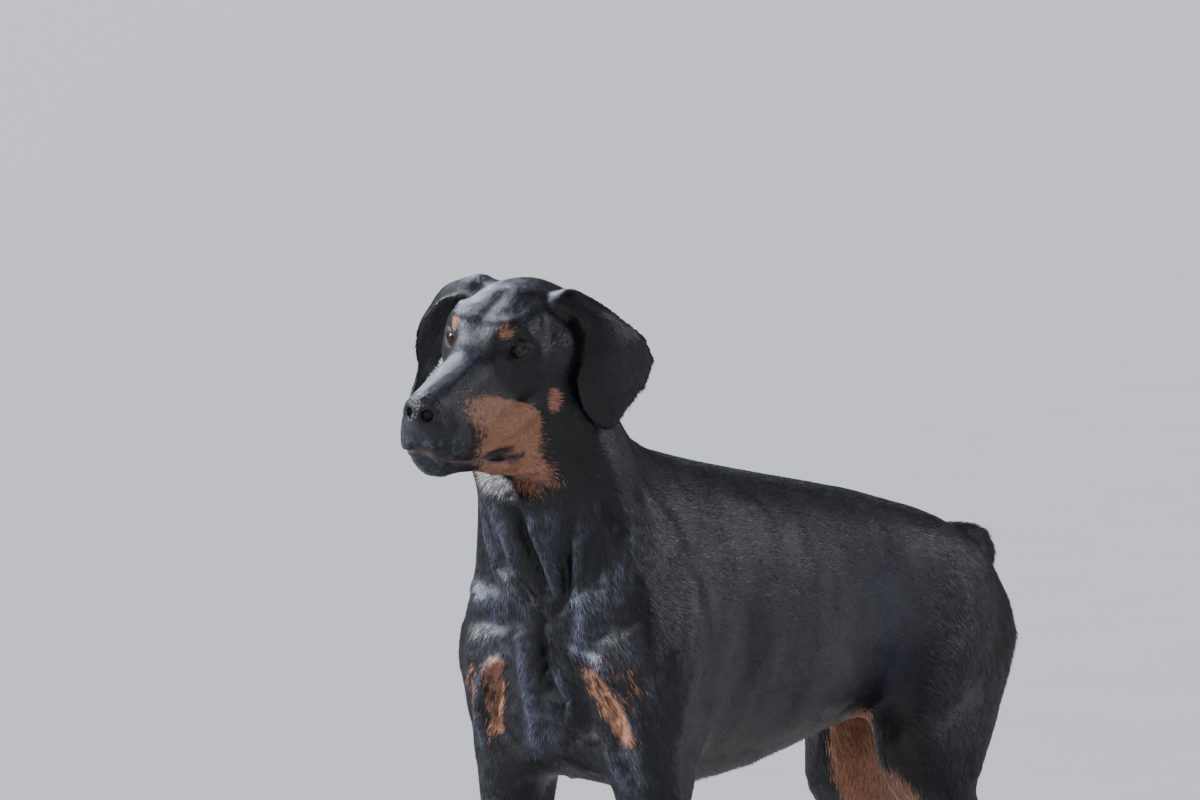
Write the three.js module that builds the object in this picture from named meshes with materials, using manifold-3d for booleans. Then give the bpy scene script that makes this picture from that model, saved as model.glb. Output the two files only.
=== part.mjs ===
// A doberman pinscher bitch, standing, life size, in millimetres. She faces +X, her left is +Y and up is +Z.
// The whole body is one smooth field of muscles and bones: a number that is negative inside the body.
// Each named part is that field's surface, cut from its neighbours along thin flat joints.
import * as THREE from "three";
import { mergeVertices } from "three/addons/utils/BufferGeometryUtils.js";
import { LoftGeometry } from "three/addons/geometries/LoftGeometry.js";
import Module from "manifold-3d";

const wasm = await Module();
wasm.setup();

// Driving dimensions. X is measured from the withers here, and the finished group is centred at the end.
const JOINT_GAP = 0.3;
const EYE_RADIUS = 10.5;
const EYE_OPENING = { length: 24, height: 15 };
const EAR_THICKNESS = 4.6;
const CLAW_LENGTH = 15;
const CLAW_RADIUS = 3.6;

// Side view of the trunk from the rump to the chest: height of back and belly, half width,
// and how far up from the belly the body is widest.
const TRUNK = [
  { place: "rump", x: -500, back: 522, belly: 470, half: 44, widest: 0.5 },
  { place: "croup", x: -440, back: 555, belly: 428, half: 66, widest: 0.55 },
  { place: "hips", x: -380, back: 573, belly: 398, half: 72, widest: 0.6 },
  { place: "loin", x: -310, back: 586, belly: 374, half: 78, widest: 0.58 },
  { place: "flank", x: -240, back: 599, belly: 361, half: 90, widest: 0.54 },
  { place: "last ribs", x: -160, back: 609, belly: 349, half: 100, widest: 0.52 },
  { place: "middle ribs", x: -80, back: 623, belly: 337, half: 99, widest: 0.5 },
  { place: "withers", x: 0, back: 633, belly: 337, half: 88, widest: 0.45 },
  { place: "fore ribs", x: 60, back: 600, belly: 352, half: 84, widest: 0.45 },
  { place: "breast", x: 110, back: 560, belly: 385, half: 76, widest: 0.45 },
];

// Joints of the legs, as X, distance from the middle plane, and height.
const FORELEG = {
  shoulder: [102, 76, 450],
  elbow: [80, 76, 348],
  wrist: [84, 69, 118],
  knuckles: [100, 69, 44],
};
const CUT_HEIGHT = { elbow: 340, wrist: 136, foreFoot: 58, hindFoot: 60 };
const HIP = [-443, 52, 487];
const HIND_LEFT = {
  hip: HIP,
  stifle: [-340, 68, 334],
  hock: [-494, 68, 163],
  knuckles: [-482, 70, 44],
};
const HIND_RIGHT = {
  hip: HIP,
  stifle: [-414, 64, 302],
  hock: [-584, 62, 166],
  knuckles: [-584, 62, 44],
};

// The head's own frame: its origin lies between the ears, X points along the muzzle.
const HEAD_PLACE = new THREE.Vector3(183, 4, 772);
const HEAD_TURN = { yaw: 6.1, pitch: 20, roll: -8.7 };
const EYE = new THREE.Vector3(57.5, 29.5, -12);
const EYE_TURN = 24;

const clamp01 = (t) => Math.min(1, Math.max(0, t));
const mix = THREE.MathUtils.lerp;
const turned = THREE.MathUtils.degToRad;

// Union of two fields whose seam is rounded over a width k.
function blend(a, b, k) {
  const h = Math.max(k - Math.abs(a - b), 0) / k;
  return Math.min(a, b) - (h * h * k) / 4;
}

function join(shapes, k) {
  return (x, y, z) => {
    let d = Infinity;
    for (const shape of shapes) {
      const next = shape(x, y, z);
      d = d === Infinity ? next : blend(d, next, k);
    }
    return d;
  };
}

// A bone or muscle from a to b. Each end has a radius seen from the side, and one seen from the front.
function bar(a, b, [sideA, frontA = sideA], [sideB, frontB = sideB]) {
  const along = b.map((v, i) => v - a[i]);
  const squared = along[0] ** 2 + along[1] ** 2 + along[2] ** 2;
  return (x, y, z) => {
    const dx = x - a[0];
    const dy = y - a[1];
    const dz = z - a[2];
    const t = clamp01((dx * along[0] + dy * along[1] + dz * along[2]) / squared);
    const px = dx - t * along[0];
    const py = dy - t * along[1];
    const pz = dz - t * along[2];
    const side = mix(sideA, sideB, t);
    const front = mix(frontA, frontB, t);
    const share = Math.hypot(px / side, py / front, pz / side);
    const length = Math.hypot(px, py, pz);
    return share < 1e-6 ? -Math.min(side, front) : length * (1 - 1 / share);
  };
}

// An egg of three radii, tipped nose down by tilt degrees in the side view.
function egg(centre, radii, tilt = 0) {
  const c = Math.cos(turned(tilt));
  const s = Math.sin(turned(tilt));
  return (x, y, z) => {
    const dx = x - centre[0];
    const dy = y - centre[1];
    const dz = z - centre[2];
    const px = dx * c - dz * s;
    const pz = dx * s + dz * c;
    const share = Math.hypot(px / radii[0], dy / radii[1], pz / radii[2]);
    const length = Math.hypot(dx, dy, dz);
    return share < 1e-6 ? -Math.min(...radii) : length * (1 - 1 / share);
  };
}

const mirrored = (shape) => (x, y, z) => shape(x, Math.abs(y), z);

// The barrel of the body: an oval at each X, read smoothly between the stations of TRUNK.
const trunkSpline = new THREE.CubicInterpolant(
  TRUNK.map((s) => s.x),
  TRUNK.flatMap((s) => [s.back, s.belly, s.half, s.widest]),
  4,
);
const RUMP_X = TRUNK[0].x;
const BREAST_X = TRUNK[TRUNK.length - 1].x;
const END_DEPTH = 28;

function barrel(x, y, z) {
  const held = Math.min(BREAST_X, Math.max(RUMP_X, x));
  const past = x - held;
  const [back, belly, half, widest] = trunkSpline.evaluate(held);
  const level = mix(belly, back, widest);
  const rise = z - level;
  const reach = rise > 0 ? back - level : level - belly;
  const power = rise > 0 ? 2.1 : 2.25;
  const section = (Math.abs(y / half) ** power + Math.abs(rise / reach) ** power) ** (1 / power);
  const share = Math.hypot(section, past / END_DEPTH);
  return share < 1e-6 ? -half : Math.hypot(y, rise, past) * (1 - 1 / share);
}

const torso = join(
  [
    barrel,
    mirrored(egg([112, 0, 452], [26, 24, 34])),
    mirrored(bar([100, 6, 400], [20, 0, 352], [26, 22], [18, 16])),
    mirrored(egg([86, 44, 424], [44, 40, 66], -8)),
    mirrored(bar([2, 30, 592], [98, 76, 462], [26, 20], [38, 30])),
    mirrored(bar([-24, 44, 560], [28, 70, 440], [30, 20], [50, 26])),
    mirrored(bar([-395, 36, 524], [-480, 38, 480], [24, 20], [22, 20])),
  ],
  34,
);

const neck = join(
  [
    bar([158, 1, 728], [138, -3, 650], [53, 51], [67, 57]),
    bar([138, -3, 650], [68, 0, 530], [67, 57], [98, 84]),
    bar([130, 3, 742], [104, 0, 672], [29, 26], [27, 24]),
    bar([104, 0, 672], [24, 0, 600], [27, 24], [32, 26]),
    mirrored(bar([146, 30, 700], [104, 74, 480], [26, 20], [34, 26])),
  ],
  24,
);

const tail = join(
  [
    bar([-466, 0, 516], [-520, 0, 525], [28, 25], [17, 16]),
    bar([-520, 0, 525], [-546, 0, 520], [17, 16], [15.5, 15.5]),
    bar([-546, 0, 520], [-559, 0, 507], [15.5, 15.5], [14, 14]),
    bar([-559, 0, 507], [-559, 0, 495], [14, 14], [12.5, 12.5]),
  ],
  10,
);

// Four toes and their pads, spread across a foot whose knuckles are at a point. The pads reach a little
// under the floor, so that the cut at the floor leaves them flat.
const TOES = [
  { side: -24, reach: -9 },
  { side: -8.5, reach: 0 },
  { side: 8.5, reach: 0 },
  { side: 24, reach: -9 },
];
const PAW = { length: 50, toe: 9.6 };
const HIND_PAW = 0.94;
const toeTip = ([x, y], { side, reach }, scale) => [
  x + (PAW.length - 14 + reach) * scale,
  y + side * 1.06 * scale,
  11,
];

function paw(knuckles, scale) {
  const [x, y] = knuckles;
  const shapes = [
    bar([x - 6, y, 44], [x + 6, y, 24], [15, 20 * scale], [20, 26 * scale]),
    egg([x - 2, y, 8], [21 * scale, 21 * scale, 11]),
  ];
  for (const toe of TOES) {
    const root = [x + 4, y + toe.side * 0.8 * scale, 34];
    const arch = [x + (24 + toe.reach * 0.8) * scale, y + toe.side * scale, 33];
    const tip = toeTip(knuckles, toe, scale);
    shapes.push(bar(root, arch, [11], [PAW.toe]));
    shapes.push(bar(arch, tip, [PAW.toe], [8.6]));
    shapes.push(egg([tip[0] - 5, tip[1], 6], [11, 8, 8]));
  }
  return join(shapes, 5);
}

const across = (point, side) => [point[0], point[1] * side, point[2]];
const shifted = (point, dx, dy, dz) => [point[0] + dx, point[1] + dy, point[2] + dz];

function foreleg(side) {
  const shoulder = across(FORELEG.shoulder, side);
  const elbow = across(FORELEG.elbow, side);
  const wrist = across(FORELEG.wrist, side);
  const knuckles = across(FORELEG.knuckles, side);
  const olecranon = shifted(elbow, -38, -side * 2, 10);
  const flexors = shifted(elbow, -18, -side * 2, -60);
  const limb = join(
    [
      bar(shoulder, shifted(elbow, 12, 0, 6), [36, 30], [31, 28]),
      bar(shifted(shoulder, -62, side * -2, 24), olecranon, [46, 26], [17, 15]),
      bar(shifted(elbow, 8, 0, -4), shifted(elbow, 10, -side * 3, -92), [32, 28], [23, 21]),
      bar(olecranon, flexors, [15, 14], [18, 17]),
      bar(flexors, shifted(wrist, -9, 0, 30), [18, 17], [9, 11]),
      bar(shifted(elbow, 8, -side * 3, -80), shifted(wrist, 0, 0, 14), [22, 20], [16.5, 17.5]),
      bar(shifted(wrist, 2, 0, 8), shifted(wrist, 0, 0, -6), [18.5, 20], [18, 20]),
      egg(shifted(wrist, -17, side * 4, -8), [9, 8, 12]),
      bar(wrist, shifted(knuckles, -6, 0, 6), [16.5, 18.5], [15, 20]),
    ],
    13,
  );
  const foot = paw(knuckles, 1);
  const dew = bar(
    shifted(wrist, -10, -side * 17, -26),
    shifted(wrist, -4, -side * 20, -40),
    [7, 5],
    [5, 4],
  );
  return (x, y, z) => blend(blend(limb(x, y, z), dew(x, y, z), 6), foot(x, y, z), 9);
}

function hindleg(joints, side) {
  const hip = across(joints.hip, side);
  const stifle = across(joints.stifle, side);
  const hock = across(joints.hock, side);
  const knuckles = across(joints.knuckles, side);
  const shin = new THREE.Vector3(...hock).sub(new THREE.Vector3(...stifle));
  const onShin = (t, back, out = 0) => {
    const length = Math.hypot(shin.x, shin.z);
    return [
      stifle[0] + shin.x * t + (shin.z / length) * back,
      stifle[1] + shin.y * t + side * out,
      stifle[2] + shin.z * t - (shin.x / length) * back,
    ];
  };
  const heel = onShin(1.03, 17);
  const buttock = [-496, side * 44, 444];
  const limb = join(
    [
      bar(shifted(hip, 22, -side * 2, -20), shifted(stifle, -22, 0, 26), [62, 40], [56, 38]),
      bar([-388, side * 44, 498], shifted(stifle, 20, -side * 3, 22), [36, 30], [28, 27]),
      bar(buttock, onShin(0.16, 50), [38, 32], [41, 33]),
      bar([-455, side * 34, 472], onShin(0.1, 26, -14), [44, 28], [34, 22]),
      bar(shifted(stifle, 10, 0, 6), onShin(0.16, -6), [28, 27], [27, 25]),
      bar(onShin(0.04, 8), onShin(0.52, 8), [40, 33], [28, 23]),
      bar(onShin(0.5, 5), onShin(0.97, 0), [26, 21], [16.5, 16]),
      bar(onShin(0.42, 25), onShin(0.96, 14), [13, 12], [7.5, 8]),
      bar(onShin(0.9, 0), onShin(1.02, -1), [17.5, 18], [17.5, 18]),
      bar(heel, shifted(heel, 10, 0, -46), [11, 11.5], [10, 12]),
      bar(onShin(1.02, 2), shifted(knuckles, -4, 0, 12), [16, 16], [13.5, 17]),
    ],
    15,
  );
  const foot = paw(knuckles, HIND_PAW);
  return (x, y, z) => blend(limb(x, y, z), foot(x, y, z), 9);
}

// The head, in its own frame.
const skull = mirrored(
  join(
    [
      egg([0, 0, -22], [54, 50, 43]),
      bar([24, 0, -10], [56, 0, -12], [35, 38], [28, 36]),
      egg([14, 36, -44], [46, 21, 40], 8),
      bar([60, 34, -26], [8, 50, -28], [9, 8], [12, 8]),
      bar([64, 20, 4], [42, 32, 4], [10, 10], [12, 10]),
      egg([57, 30, -13], [14, 13, 13]),
    ],
    16,
  ),
);

const muzzle = mirrored(
  join(
    [
      bar([62, 0, -34], [160, 0, -35], [31, 33], [23, 22]),
      bar([70, 0, -24], [168, 0, -27], [17, 19], [13.5, 13.5]),
      bar([86, 23, -66], [158, 13, -54], [25, 14], [20, 13]),
      egg([166, 9, -55], [15, 14, 18]),
      egg([173, 0, -26.5], [13.5, 16, 14]),
      bar([96, 34, -70], [60, 40, -62], [12, 9], [16, 10]),
    ],
    11,
  ),
);

const lowerJaw = mirrored(
  join(
    [
      bar([16, 30, -72], [88, 22, -99], [27, 18], [20, 13]),
      bar([90, 18, -96], [152, 8, -81], [19, 14], [11, 10]),
      egg([156, 0, -80], [17, 17, 13]),
      bar([10, 0, -70], [140, 0, -80], [33, 32], [13, 14]),
    ],
    12,
  ),
);

const headTurn = new THREE.Quaternion().setFromEuler(
  new THREE.Euler(turned(HEAD_TURN.roll), turned(HEAD_TURN.pitch), turned(HEAD_TURN.yaw), "ZYX"),
);
const headMatrix = new THREE.Matrix4().compose(HEAD_PLACE, headTurn, new THREE.Vector3(1, 1, 1));
const toHead = headMatrix.clone().invert();
const probe = new THREE.Vector3();

function head(x, y, z) {
  probe.set(x, y, z).applyMatrix4(toHead);
  const { x: hx, y: hy, z: hz } = probe;
  return blend(blend(skull(hx, hy, hz), muzzle(hx, hy, hz), 14), lowerJaw(hx, hy, hz), 7);
}

// A field is only worked out near its own box. Farther off it counts as well outside.
const FAR = 60;

function near(shape, low, high) {
  return (x, y, z) => {
    const off = Math.max(low[0] - x, x - high[0], low[1] - y, y - high[1], low[2] - z, z - high[2]);
    return off > FAR ? FAR : shape(x, y, z);
  };
}

const parts = [
  [near(neck, [-30, -100, 420], [200, 100, 790]), 40],
  [near(head, [110, -75, 610], [375, 80, 820]), 22],
  [near(tail, [-590, -30, 470], [-440, 30, 550]), 14],
  [near(foreleg(1), [-20, 30, -10], [160, 115, 510]), 24],
  [near(foreleg(-1), [-20, -115, -10], [160, -30, 510]), 24],
  [near(hindleg(HIND_LEFT, 1), [-560, 10, -10], [-290, 115, 580]), 24],
  [near(hindleg(HIND_RIGHT, -1), [-640, -115, -10], [-300, -10, 580]), 24],
];

function body(x, y, z) {
  return parts.reduce((d, [part, k]) => blend(d, part(x, y, z), k), torso(x, y, z));
}

// The surface of a field inside a box of cells, as one closed mesh. The box has its own frame, so that long
// parts take long cells. Each sheet of the surface that passes through a cell leaves one vertex there, moved
// onto the surface, and each edge of the grid that the surface crosses joins four of them in two triangles.
const AXES = [1, 2, 4];
const CORNERS = [0, 1, 2, 3, 4, 5, 6, 7];
const EDGES = CORNERS.flatMap((from) =>
  AXES.filter((bit) => !(from & bit)).map((bit) => ({ from, to: from | bit })),
);
const FACES = AXES.flatMap((normal) =>
  [0, normal].map((base) => {
    const [u, v] = AXES.filter((bit) => bit !== normal);
    return [base, base | u, base | u | v, base | v];
  }),
);
const edgeBetween = (a, b) =>
  EDGES.findIndex((edge) => edge.from === Math.min(a, b) && edge.to === Math.max(a, b));
const FACE_EDGES = FACES.map((ring) => ring.map((corner, n) => edgeBetween(corner, ring[(n + 1) % 4])));

// The crossed edges of one cell, in groups that one sheet of the surface joins.
function sheetsOf(at) {
  const crossed = EDGES.map(({ from, to }) => at[from] < 0 !== at[to] < 0);
  const sheet = EDGES.map((_, n) => n);
  const link = (a, b) => {
    const [old, kept] = [sheet[a], sheet[b]];
    sheet.forEach((v, n) => (sheet[n] = v === old ? kept : v));
  };
  FACES.forEach((ring, face) => {
    const edges = FACE_EDGES[face];
    const cut = edges.filter((edge) => crossed[edge]);
    if (cut.length === 2) link(cut[0], cut[1]);
    if (cut.length === 4) {
      const first = at[ring[0]] < 0 ? 0 : 1;
      link(edges[(first + 3) % 4], edges[first]);
      link(edges[first + 1], edges[first + 2]);
    }
  });
  const groups = new Map();
  EDGES.forEach((_, n) => {
    if (crossed[n]) groups.set(sheet[n], [...(groups.get(sheet[n]) ?? []), n]);
  });
  return [...groups.values()];
}

function surfaceOf(field, frame, low, high, cell) {
  const [nx, ny, nz] = low.map((v, i) => Math.ceil((high[i] - v) / cell[i]) + 1);
  const nodeAt = (i, j, k) => (k * ny + j) * nx + i;
  const point = new THREE.Vector3();
  const place = (i, j, k) =>
    point.set(low[0] + i * cell[0], low[1] + j * cell[1], low[2] + k * cell[2]).applyMatrix4(frame);
  const values = new Float64Array(nx * ny * nz);
  for (let k = 0; k < nz; k++)
    for (let j = 0; j < ny; j++)
      for (let i = 0; i < nx; i++) {
        const p = place(i, j, k);
        const onWall = i === 0 || j === 0 || k === 0 || i === nx - 1 || j === ny - 1 || k === nz - 1;
        const value = field(p.x, p.y, p.z);
        values[nodeAt(i, j, k)] = onWall ? Math.max(value, 0.5) : value;
      }

  const positions = [];
  const vertexOf = new Map();
  const offset = (corner) => AXES.map((bit) => (corner & bit ? 1 : 0));
  const slot = (i, j, k, edge) => nodeAt(i, j, k) * EDGES.length + edge;
  for (let k = 0; k < nz - 1; k++)
    for (let j = 0; j < ny - 1; j++)
      for (let i = 0; i < nx - 1; i++) {
        const at = CORNERS.map((corner) => {
          const [a, b, c] = offset(corner);
          return values[nodeAt(i + a, j + b, k + c)];
        });
        const inside = at.filter((v) => v < 0).length;
        if (inside === 0 || inside === 8) continue;
        for (const edges of sheetsOf(at)) {
          const middle = new THREE.Vector3();
          for (const edge of edges) {
            const { from, to } = EDGES[edge];
            const start = new THREE.Vector3(...offset(from));
            middle.add(start.lerp(new THREE.Vector3(...offset(to)), at[from] / (at[from] - at[to])));
            vertexOf.set(slot(i, j, k, edge), positions.length / 3);
          }
          middle.divideScalar(edges.length);
          const p = place(i + middle.x, j + middle.y, k + middle.z);
          pullOnto(field, p, Math.min(...cell) * 0.45);
          positions.push(p.x, p.y, p.z);
        }
      }

  const index = [];
  const corner = (n) => new THREE.Vector3().fromArray(positions, n * 3);
  const around = [
    [0, 0],
    [1, 0],
    [1, 1],
    [0, 1],
  ];
  for (let k = 0; k < nz - 1; k++)
    for (let j = 0; j < ny - 1; j++)
      for (let i = 0; i < nx - 1; i++)
        AXES.forEach((bit, axis) => {
          const onWall = [i, j, k].some((n, other) => other !== axis && n === 0);
          if (onWall) return;
          const [di, dj, dk] = offset(bit);
          const here = values[nodeAt(i, j, k)] < 0;
          if (here === values[nodeAt(i + di, j + dj, k + dk)] < 0) return;
          const u = AXES[(axis + 1) % 3];
          const v = AXES[(axis + 2) % 3];
          const ring = around.map(([a, b]) => {
            const from = (a ? u : 0) | (b ? v : 0);
            const [oi, oj, ok] = offset(from);
            return vertexOf.get(slot(i - oi, j - oj, k - ok, edgeBetween(from, from | bit)));
          });
          if (!here) ring.reverse();
          const [p, q, r, s] = ring;
          const straight = corner(p).distanceTo(corner(r)) < corner(q).distanceTo(corner(s));
          if (straight) index.push(p, q, r, p, r, s);
          else index.push(p, q, s, q, r, s);
        });
  return new THREE.BufferGeometry()
    .setAttribute("position", new THREE.Float32BufferAttribute(positions, 3))
    .setIndex(index);
}

// Moves a point onto the field's surface, by no more than a limit.
function pullOnto(field, p, limit) {
  const start = p.clone();
  const h = 0.5;
  for (let pass = 0; pass < 3; pass++) {
    const value = field(p.x, p.y, p.z);
    const slope = new THREE.Vector3(
      field(p.x + h, p.y, p.z) - field(p.x - h, p.y, p.z),
      field(p.x, p.y + h, p.z) - field(p.x, p.y - h, p.z),
      field(p.x, p.y, p.z + h) - field(p.x, p.y, p.z - h),
    ).divideScalar(2 * h);
    p.addScaledVector(slope, -value / Math.max(slope.lengthSq(), 0.1));
    const moved = p.clone().sub(start);
    if (moved.length() > limit) p.copy(start).add(moved.setLength(limit));
  }
}

// The same surface with fewer triangles: short edges in flat places are closed first, by how far the merged
// vertex would lie from the planes of the faces round it. No fold or hole is made on the way.
const SPREAD = 0.02;
const LEAST_TURN = 0.2;

function thinned(field, geometry, share, pull) {
  const points = [];
  const raw = geometry.attributes.position;
  for (let n = 0; n < raw.count; n++) points.push(new THREE.Vector3().fromBufferAttribute(raw, n));
  const faces = [];
  for (let n = 0; n < geometry.index.count; n += 3) faces.push([...geometry.index.array.slice(n, n + 3)]);
  const facesOf = points.map(() => new Set());
  faces.forEach((face, f) => face.forEach((v) => facesOf[v].add(f)));
  const normalOf = (face, swap = () => null) => {
    const [p, q, r] = face.map((v) => swap(v) ?? points[v]);
    return q.clone().sub(p).cross(r.clone().sub(p));
  };
  const planes = points.map(() => []);
  faces.forEach((face) => {
    const normal = normalOf(face);
    const weight = Math.sqrt(normal.length());
    normal.normalize();
    const plane = [normal.x, normal.y, normal.z, -normal.dot(points[face[0]])].map((v) => v * weight);
    face.forEach((v) => planes[v].push(plane));
  });
  const errorAt = (p, list) =>
    list.reduce((sum, [a, b, c, d]) => sum + (a * p.x + b * p.y + c * p.z + d) ** 2, 0);
  const ringOf = (v) => new Set([...facesOf[v]].flatMap((f) => faces[f]).filter((w) => w !== v));
  let left = faces.length;
  const target = left * share;
  while (left > target) {
    const edges = [];
    faces.forEach((face) => {
      if (!face) return;
      face.forEach((a, n) => {
        const b = face[(n + 1) % 3];
        if (a > b) return;
        const middle = points[a].clone().lerp(points[b], 0.5);
        const spread = points[a].distanceToSquared(points[b]) * SPREAD;
        edges.push({ a, b, middle, cost: errorAt(middle, planes[a]) + errorAt(middle, planes[b]) + spread });
      });
    });
    edges.sort((p, q) => p.cost - q.cost);
    const busy = new Set();
    const before = left;
    for (const { a, b, middle } of edges.slice(0, Math.ceil(edges.length * 0.3))) {
      if (left <= target) break;
      if (busy.has(a) || busy.has(b)) continue;
      const [ringA, ringB] = [ringOf(a), ringOf(b)];
      if ([...ringA].filter((v) => ringB.has(v)).length !== 2) continue;
      if (pull) pullOnto(field, middle, points[a].distanceTo(points[b]) * 0.3);
      const swap = (v) => (v === a || v === b ? middle : null);
      const shared = [...facesOf[a]].filter((f) => facesOf[b].has(f));
      const kept = [...facesOf[a], ...facesOf[b]].filter((f) => !shared.includes(f));
      const turns = kept.some((f) => {
        const [old, fresh] = [normalOf(faces[f]), normalOf(faces[f], swap)];
        return old.dot(fresh) < LEAST_TURN * old.length() * fresh.length() || fresh.length() < 1e-3;
      });
      if (turns) continue;
      points[a].copy(middle);
      for (const f of shared) {
        faces[f].forEach((v) => facesOf[v].delete(f));
        faces[f] = null;
      }
      for (const f of facesOf[b]) {
        faces[f] = faces[f].map((v) => (v === b ? a : v));
        facesOf[a].add(f);
      }
      facesOf[b].clear();
      planes[a] = [...planes[a], ...planes[b]];
      left -= shared.length;
      [a, b, ...ringA, ...ringB].forEach((v) => busy.add(v));
    }
    if (left === before) break;
  }
  const used = faces.filter((face) => face);
  const slots = new Map();
  const positions = [];
  const index = used.flat().map((v) => {
    if (!slots.has(v)) {
      slots.set(v, positions.length / 3);
      positions.push(points[v].x, points[v].y, points[v].z);
    }
    return slots.get(v);
  });
  return new THREE.BufferGeometry()
    .setAttribute("position", new THREE.Float32BufferAttribute(positions, 3))
    .setIndex(index);
}

// A closed geometry as a solid. Faces that point inwards are all turned round.
function solidOf(geometry) {
  const bare = new THREE.BufferGeometry().setAttribute("position", geometry.attributes.position);
  const merged = mergeVertices(bare.setIndex(geometry.index), 1e-4);
  const vertProperties = Float32Array.from(merged.attributes.position.array);
  const triVerts = Uint32Array.from(merged.index.array);
  const solid = new wasm.Manifold(new wasm.Mesh({ numProp: 3, vertProperties, triVerts }));
  if (solid.volume() > 0) return solid;
  return new wasm.Manifold(new wasm.Mesh({ numProp: 3, vertProperties, triVerts: triVerts.reverse() }));
}

// A closed solid through a row of rings. Every ring is turned to wind the way the row runs.
function lofted(rings) {
  const [start, next] = rings.map((ring) =>
    ring.reduce((sum, p) => sum.add(p), new THREE.Vector3()).divideScalar(ring.length),
  );
  const normal = new THREE.Vector3();
  rings[0].forEach((p, n) => {
    const q = rings[0][(n + 1) % rings[0].length];
    normal.add(p.clone().sub(start).cross(q.clone().sub(start)));
  });
  const along = normal.dot(next.sub(start)) > 0;
  const sections = along ? rings : rings.map((ring) => [...ring].reverse());
  return new LoftGeometry(sections, { capStart: true, capEnd: true });
}

function geometryOf(solid) {
  const mesh = solid.getMesh();
  const geometry = new THREE.BufferGeometry();
  geometry.setAttribute("position", new THREE.BufferAttribute(mesh.vertProperties, 3));
  geometry.setIndex(new THREE.BufferAttribute(mesh.triVerts, 1));
  geometry.computeVertexNormals();
  return geometry;
}

// An outline whose every edge is moved outwards by a distance.
function grown(outline, distance) {
  const turn = THREE.ShapeUtils.area(outline.map(([x, y]) => new THREE.Vector2(x, y))) > 0 ? 1 : -1;
  return outline.map((here, n) => {
    const last = outline[(n + outline.length - 1) % outline.length];
    const next = outline[(n + 1) % outline.length];
    const before = new THREE.Vector2(here[1] - last[1], last[0] - here[0]).normalize();
    const after = new THREE.Vector2(next[1] - here[1], here[0] - next[0]).normalize();
    const bisector = before.clone().add(after);
    const reach = (2 * distance * turn) / bisector.lengthSq();
    return [here[0] + bisector.x * reach, here[1] + bisector.y * reach];
  });
}

// The region of a part: everything inside both its side outline (X, Z) and its front outline (Y, Z),
// in the frame of a matrix. A negative side mirrors the front outline to her right.
const REACH = 400;

function region(sideOutline, frontOutline, { side = 1, grow = 0, frame = new THREE.Matrix4() } = {}) {
  const sideShape = new THREE.Shape(grown(sideOutline, grow).map(([x, z]) => new THREE.Vector2(x, z)));
  const sidePrism = new THREE.ExtrudeGeometry(sideShape, { depth: 2 * REACH, bevelEnabled: false });
  sidePrism.rotateX(Math.PI / 2).translate(0, REACH, 0);
  const faced = grown(frontOutline, grow).map(([y, z]) => new THREE.Vector2(y * side, z));
  const frontShape = new THREE.Shape(faced);
  const frontPrism = new THREE.ExtrudeGeometry(frontShape, { depth: 4 * REACH, bevelEnabled: false });
  frontPrism.rotateX(Math.PI / 2).rotateZ(Math.PI / 2).translate(-2 * REACH, 0, 0);
  return solidOf(sidePrism.applyMatrix4(frame)).intersect(solidOf(frontPrism.applyMatrix4(frame)));
}

// A half space as a large block: the points beyond a plane, in the direction of its normal.
function beyond(point, normal) {
  const block = new THREE.BoxGeometry(4 * REACH, 4 * REACH, 4 * REACH);
  const up = new THREE.Vector3(...normal).normalize();
  block.translate(0, 0, 2 * REACH);
  block.applyQuaternion(new THREE.Quaternion().setFromUnitVectors(new THREE.Vector3(0, 0, 1), up));
  block.translate(...point);
  return solidOf(block);
}

// The two sides of a thin flat cut: what lies beyond its plane, and what lies behind it.
function ahead({ at, facing }) {
  const half = new THREE.Vector3(...facing).setLength(JOINT_GAP / 2).toArray();
  return beyond(shifted(at, ...half), facing);
}

const behind = ({ at, facing }) => ahead({ at, facing: facing.map((v) => -v) });

const still = new THREE.Matrix4();
const floor = beyond([0, 0, 0], [0, 0, 1]);
const nape = { at: [150, 0, 735], facing: [0.947, 0, 0.322] };
const collar = { at: [70, 0, 560], facing: [0.718, 0, 0.696] };
const level = (z) => ({ at: [0, 0, z], facing: [0, 0, 1] });

const COAT = { color: 0x1b1a1f, roughness: 0.45, metalness: 0 };
const RUST = { color: 0x9a5a33, roughness: 0.55, metalness: 0 };
const LEATHER = { color: 0x141315, roughness: 0.5, metalness: 0 };
const EYE_FINISH = { color: 0x2a1509, roughness: 0.08, metalness: 0 };
const HORN = { color: 0x161412, roughness: 0.35, metalness: 0 };

const group = new THREE.Group();

function addPart(name, solid, finish = COAT) {
  const mesh = new THREE.Mesh(geometryOf(solid), new THREE.MeshStandardMaterial(finish));
  mesh.name = name;
  group.add(mesh);
}

// The body inside a box, cut down to what every piece of a list keeps.
function flesh(frame, low, high, cell, keep, drop = [], share = 0.25) {
  const whole = solidOf(thinned(body, surfaceOf(body, frame, low, high, cell), share, true));
  const kept = keep.reduce((solid, piece) => solid.intersect(piece), whole);
  return drop.reduce((solid, piece) => solid.subtract(piece), kept);
}

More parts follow.
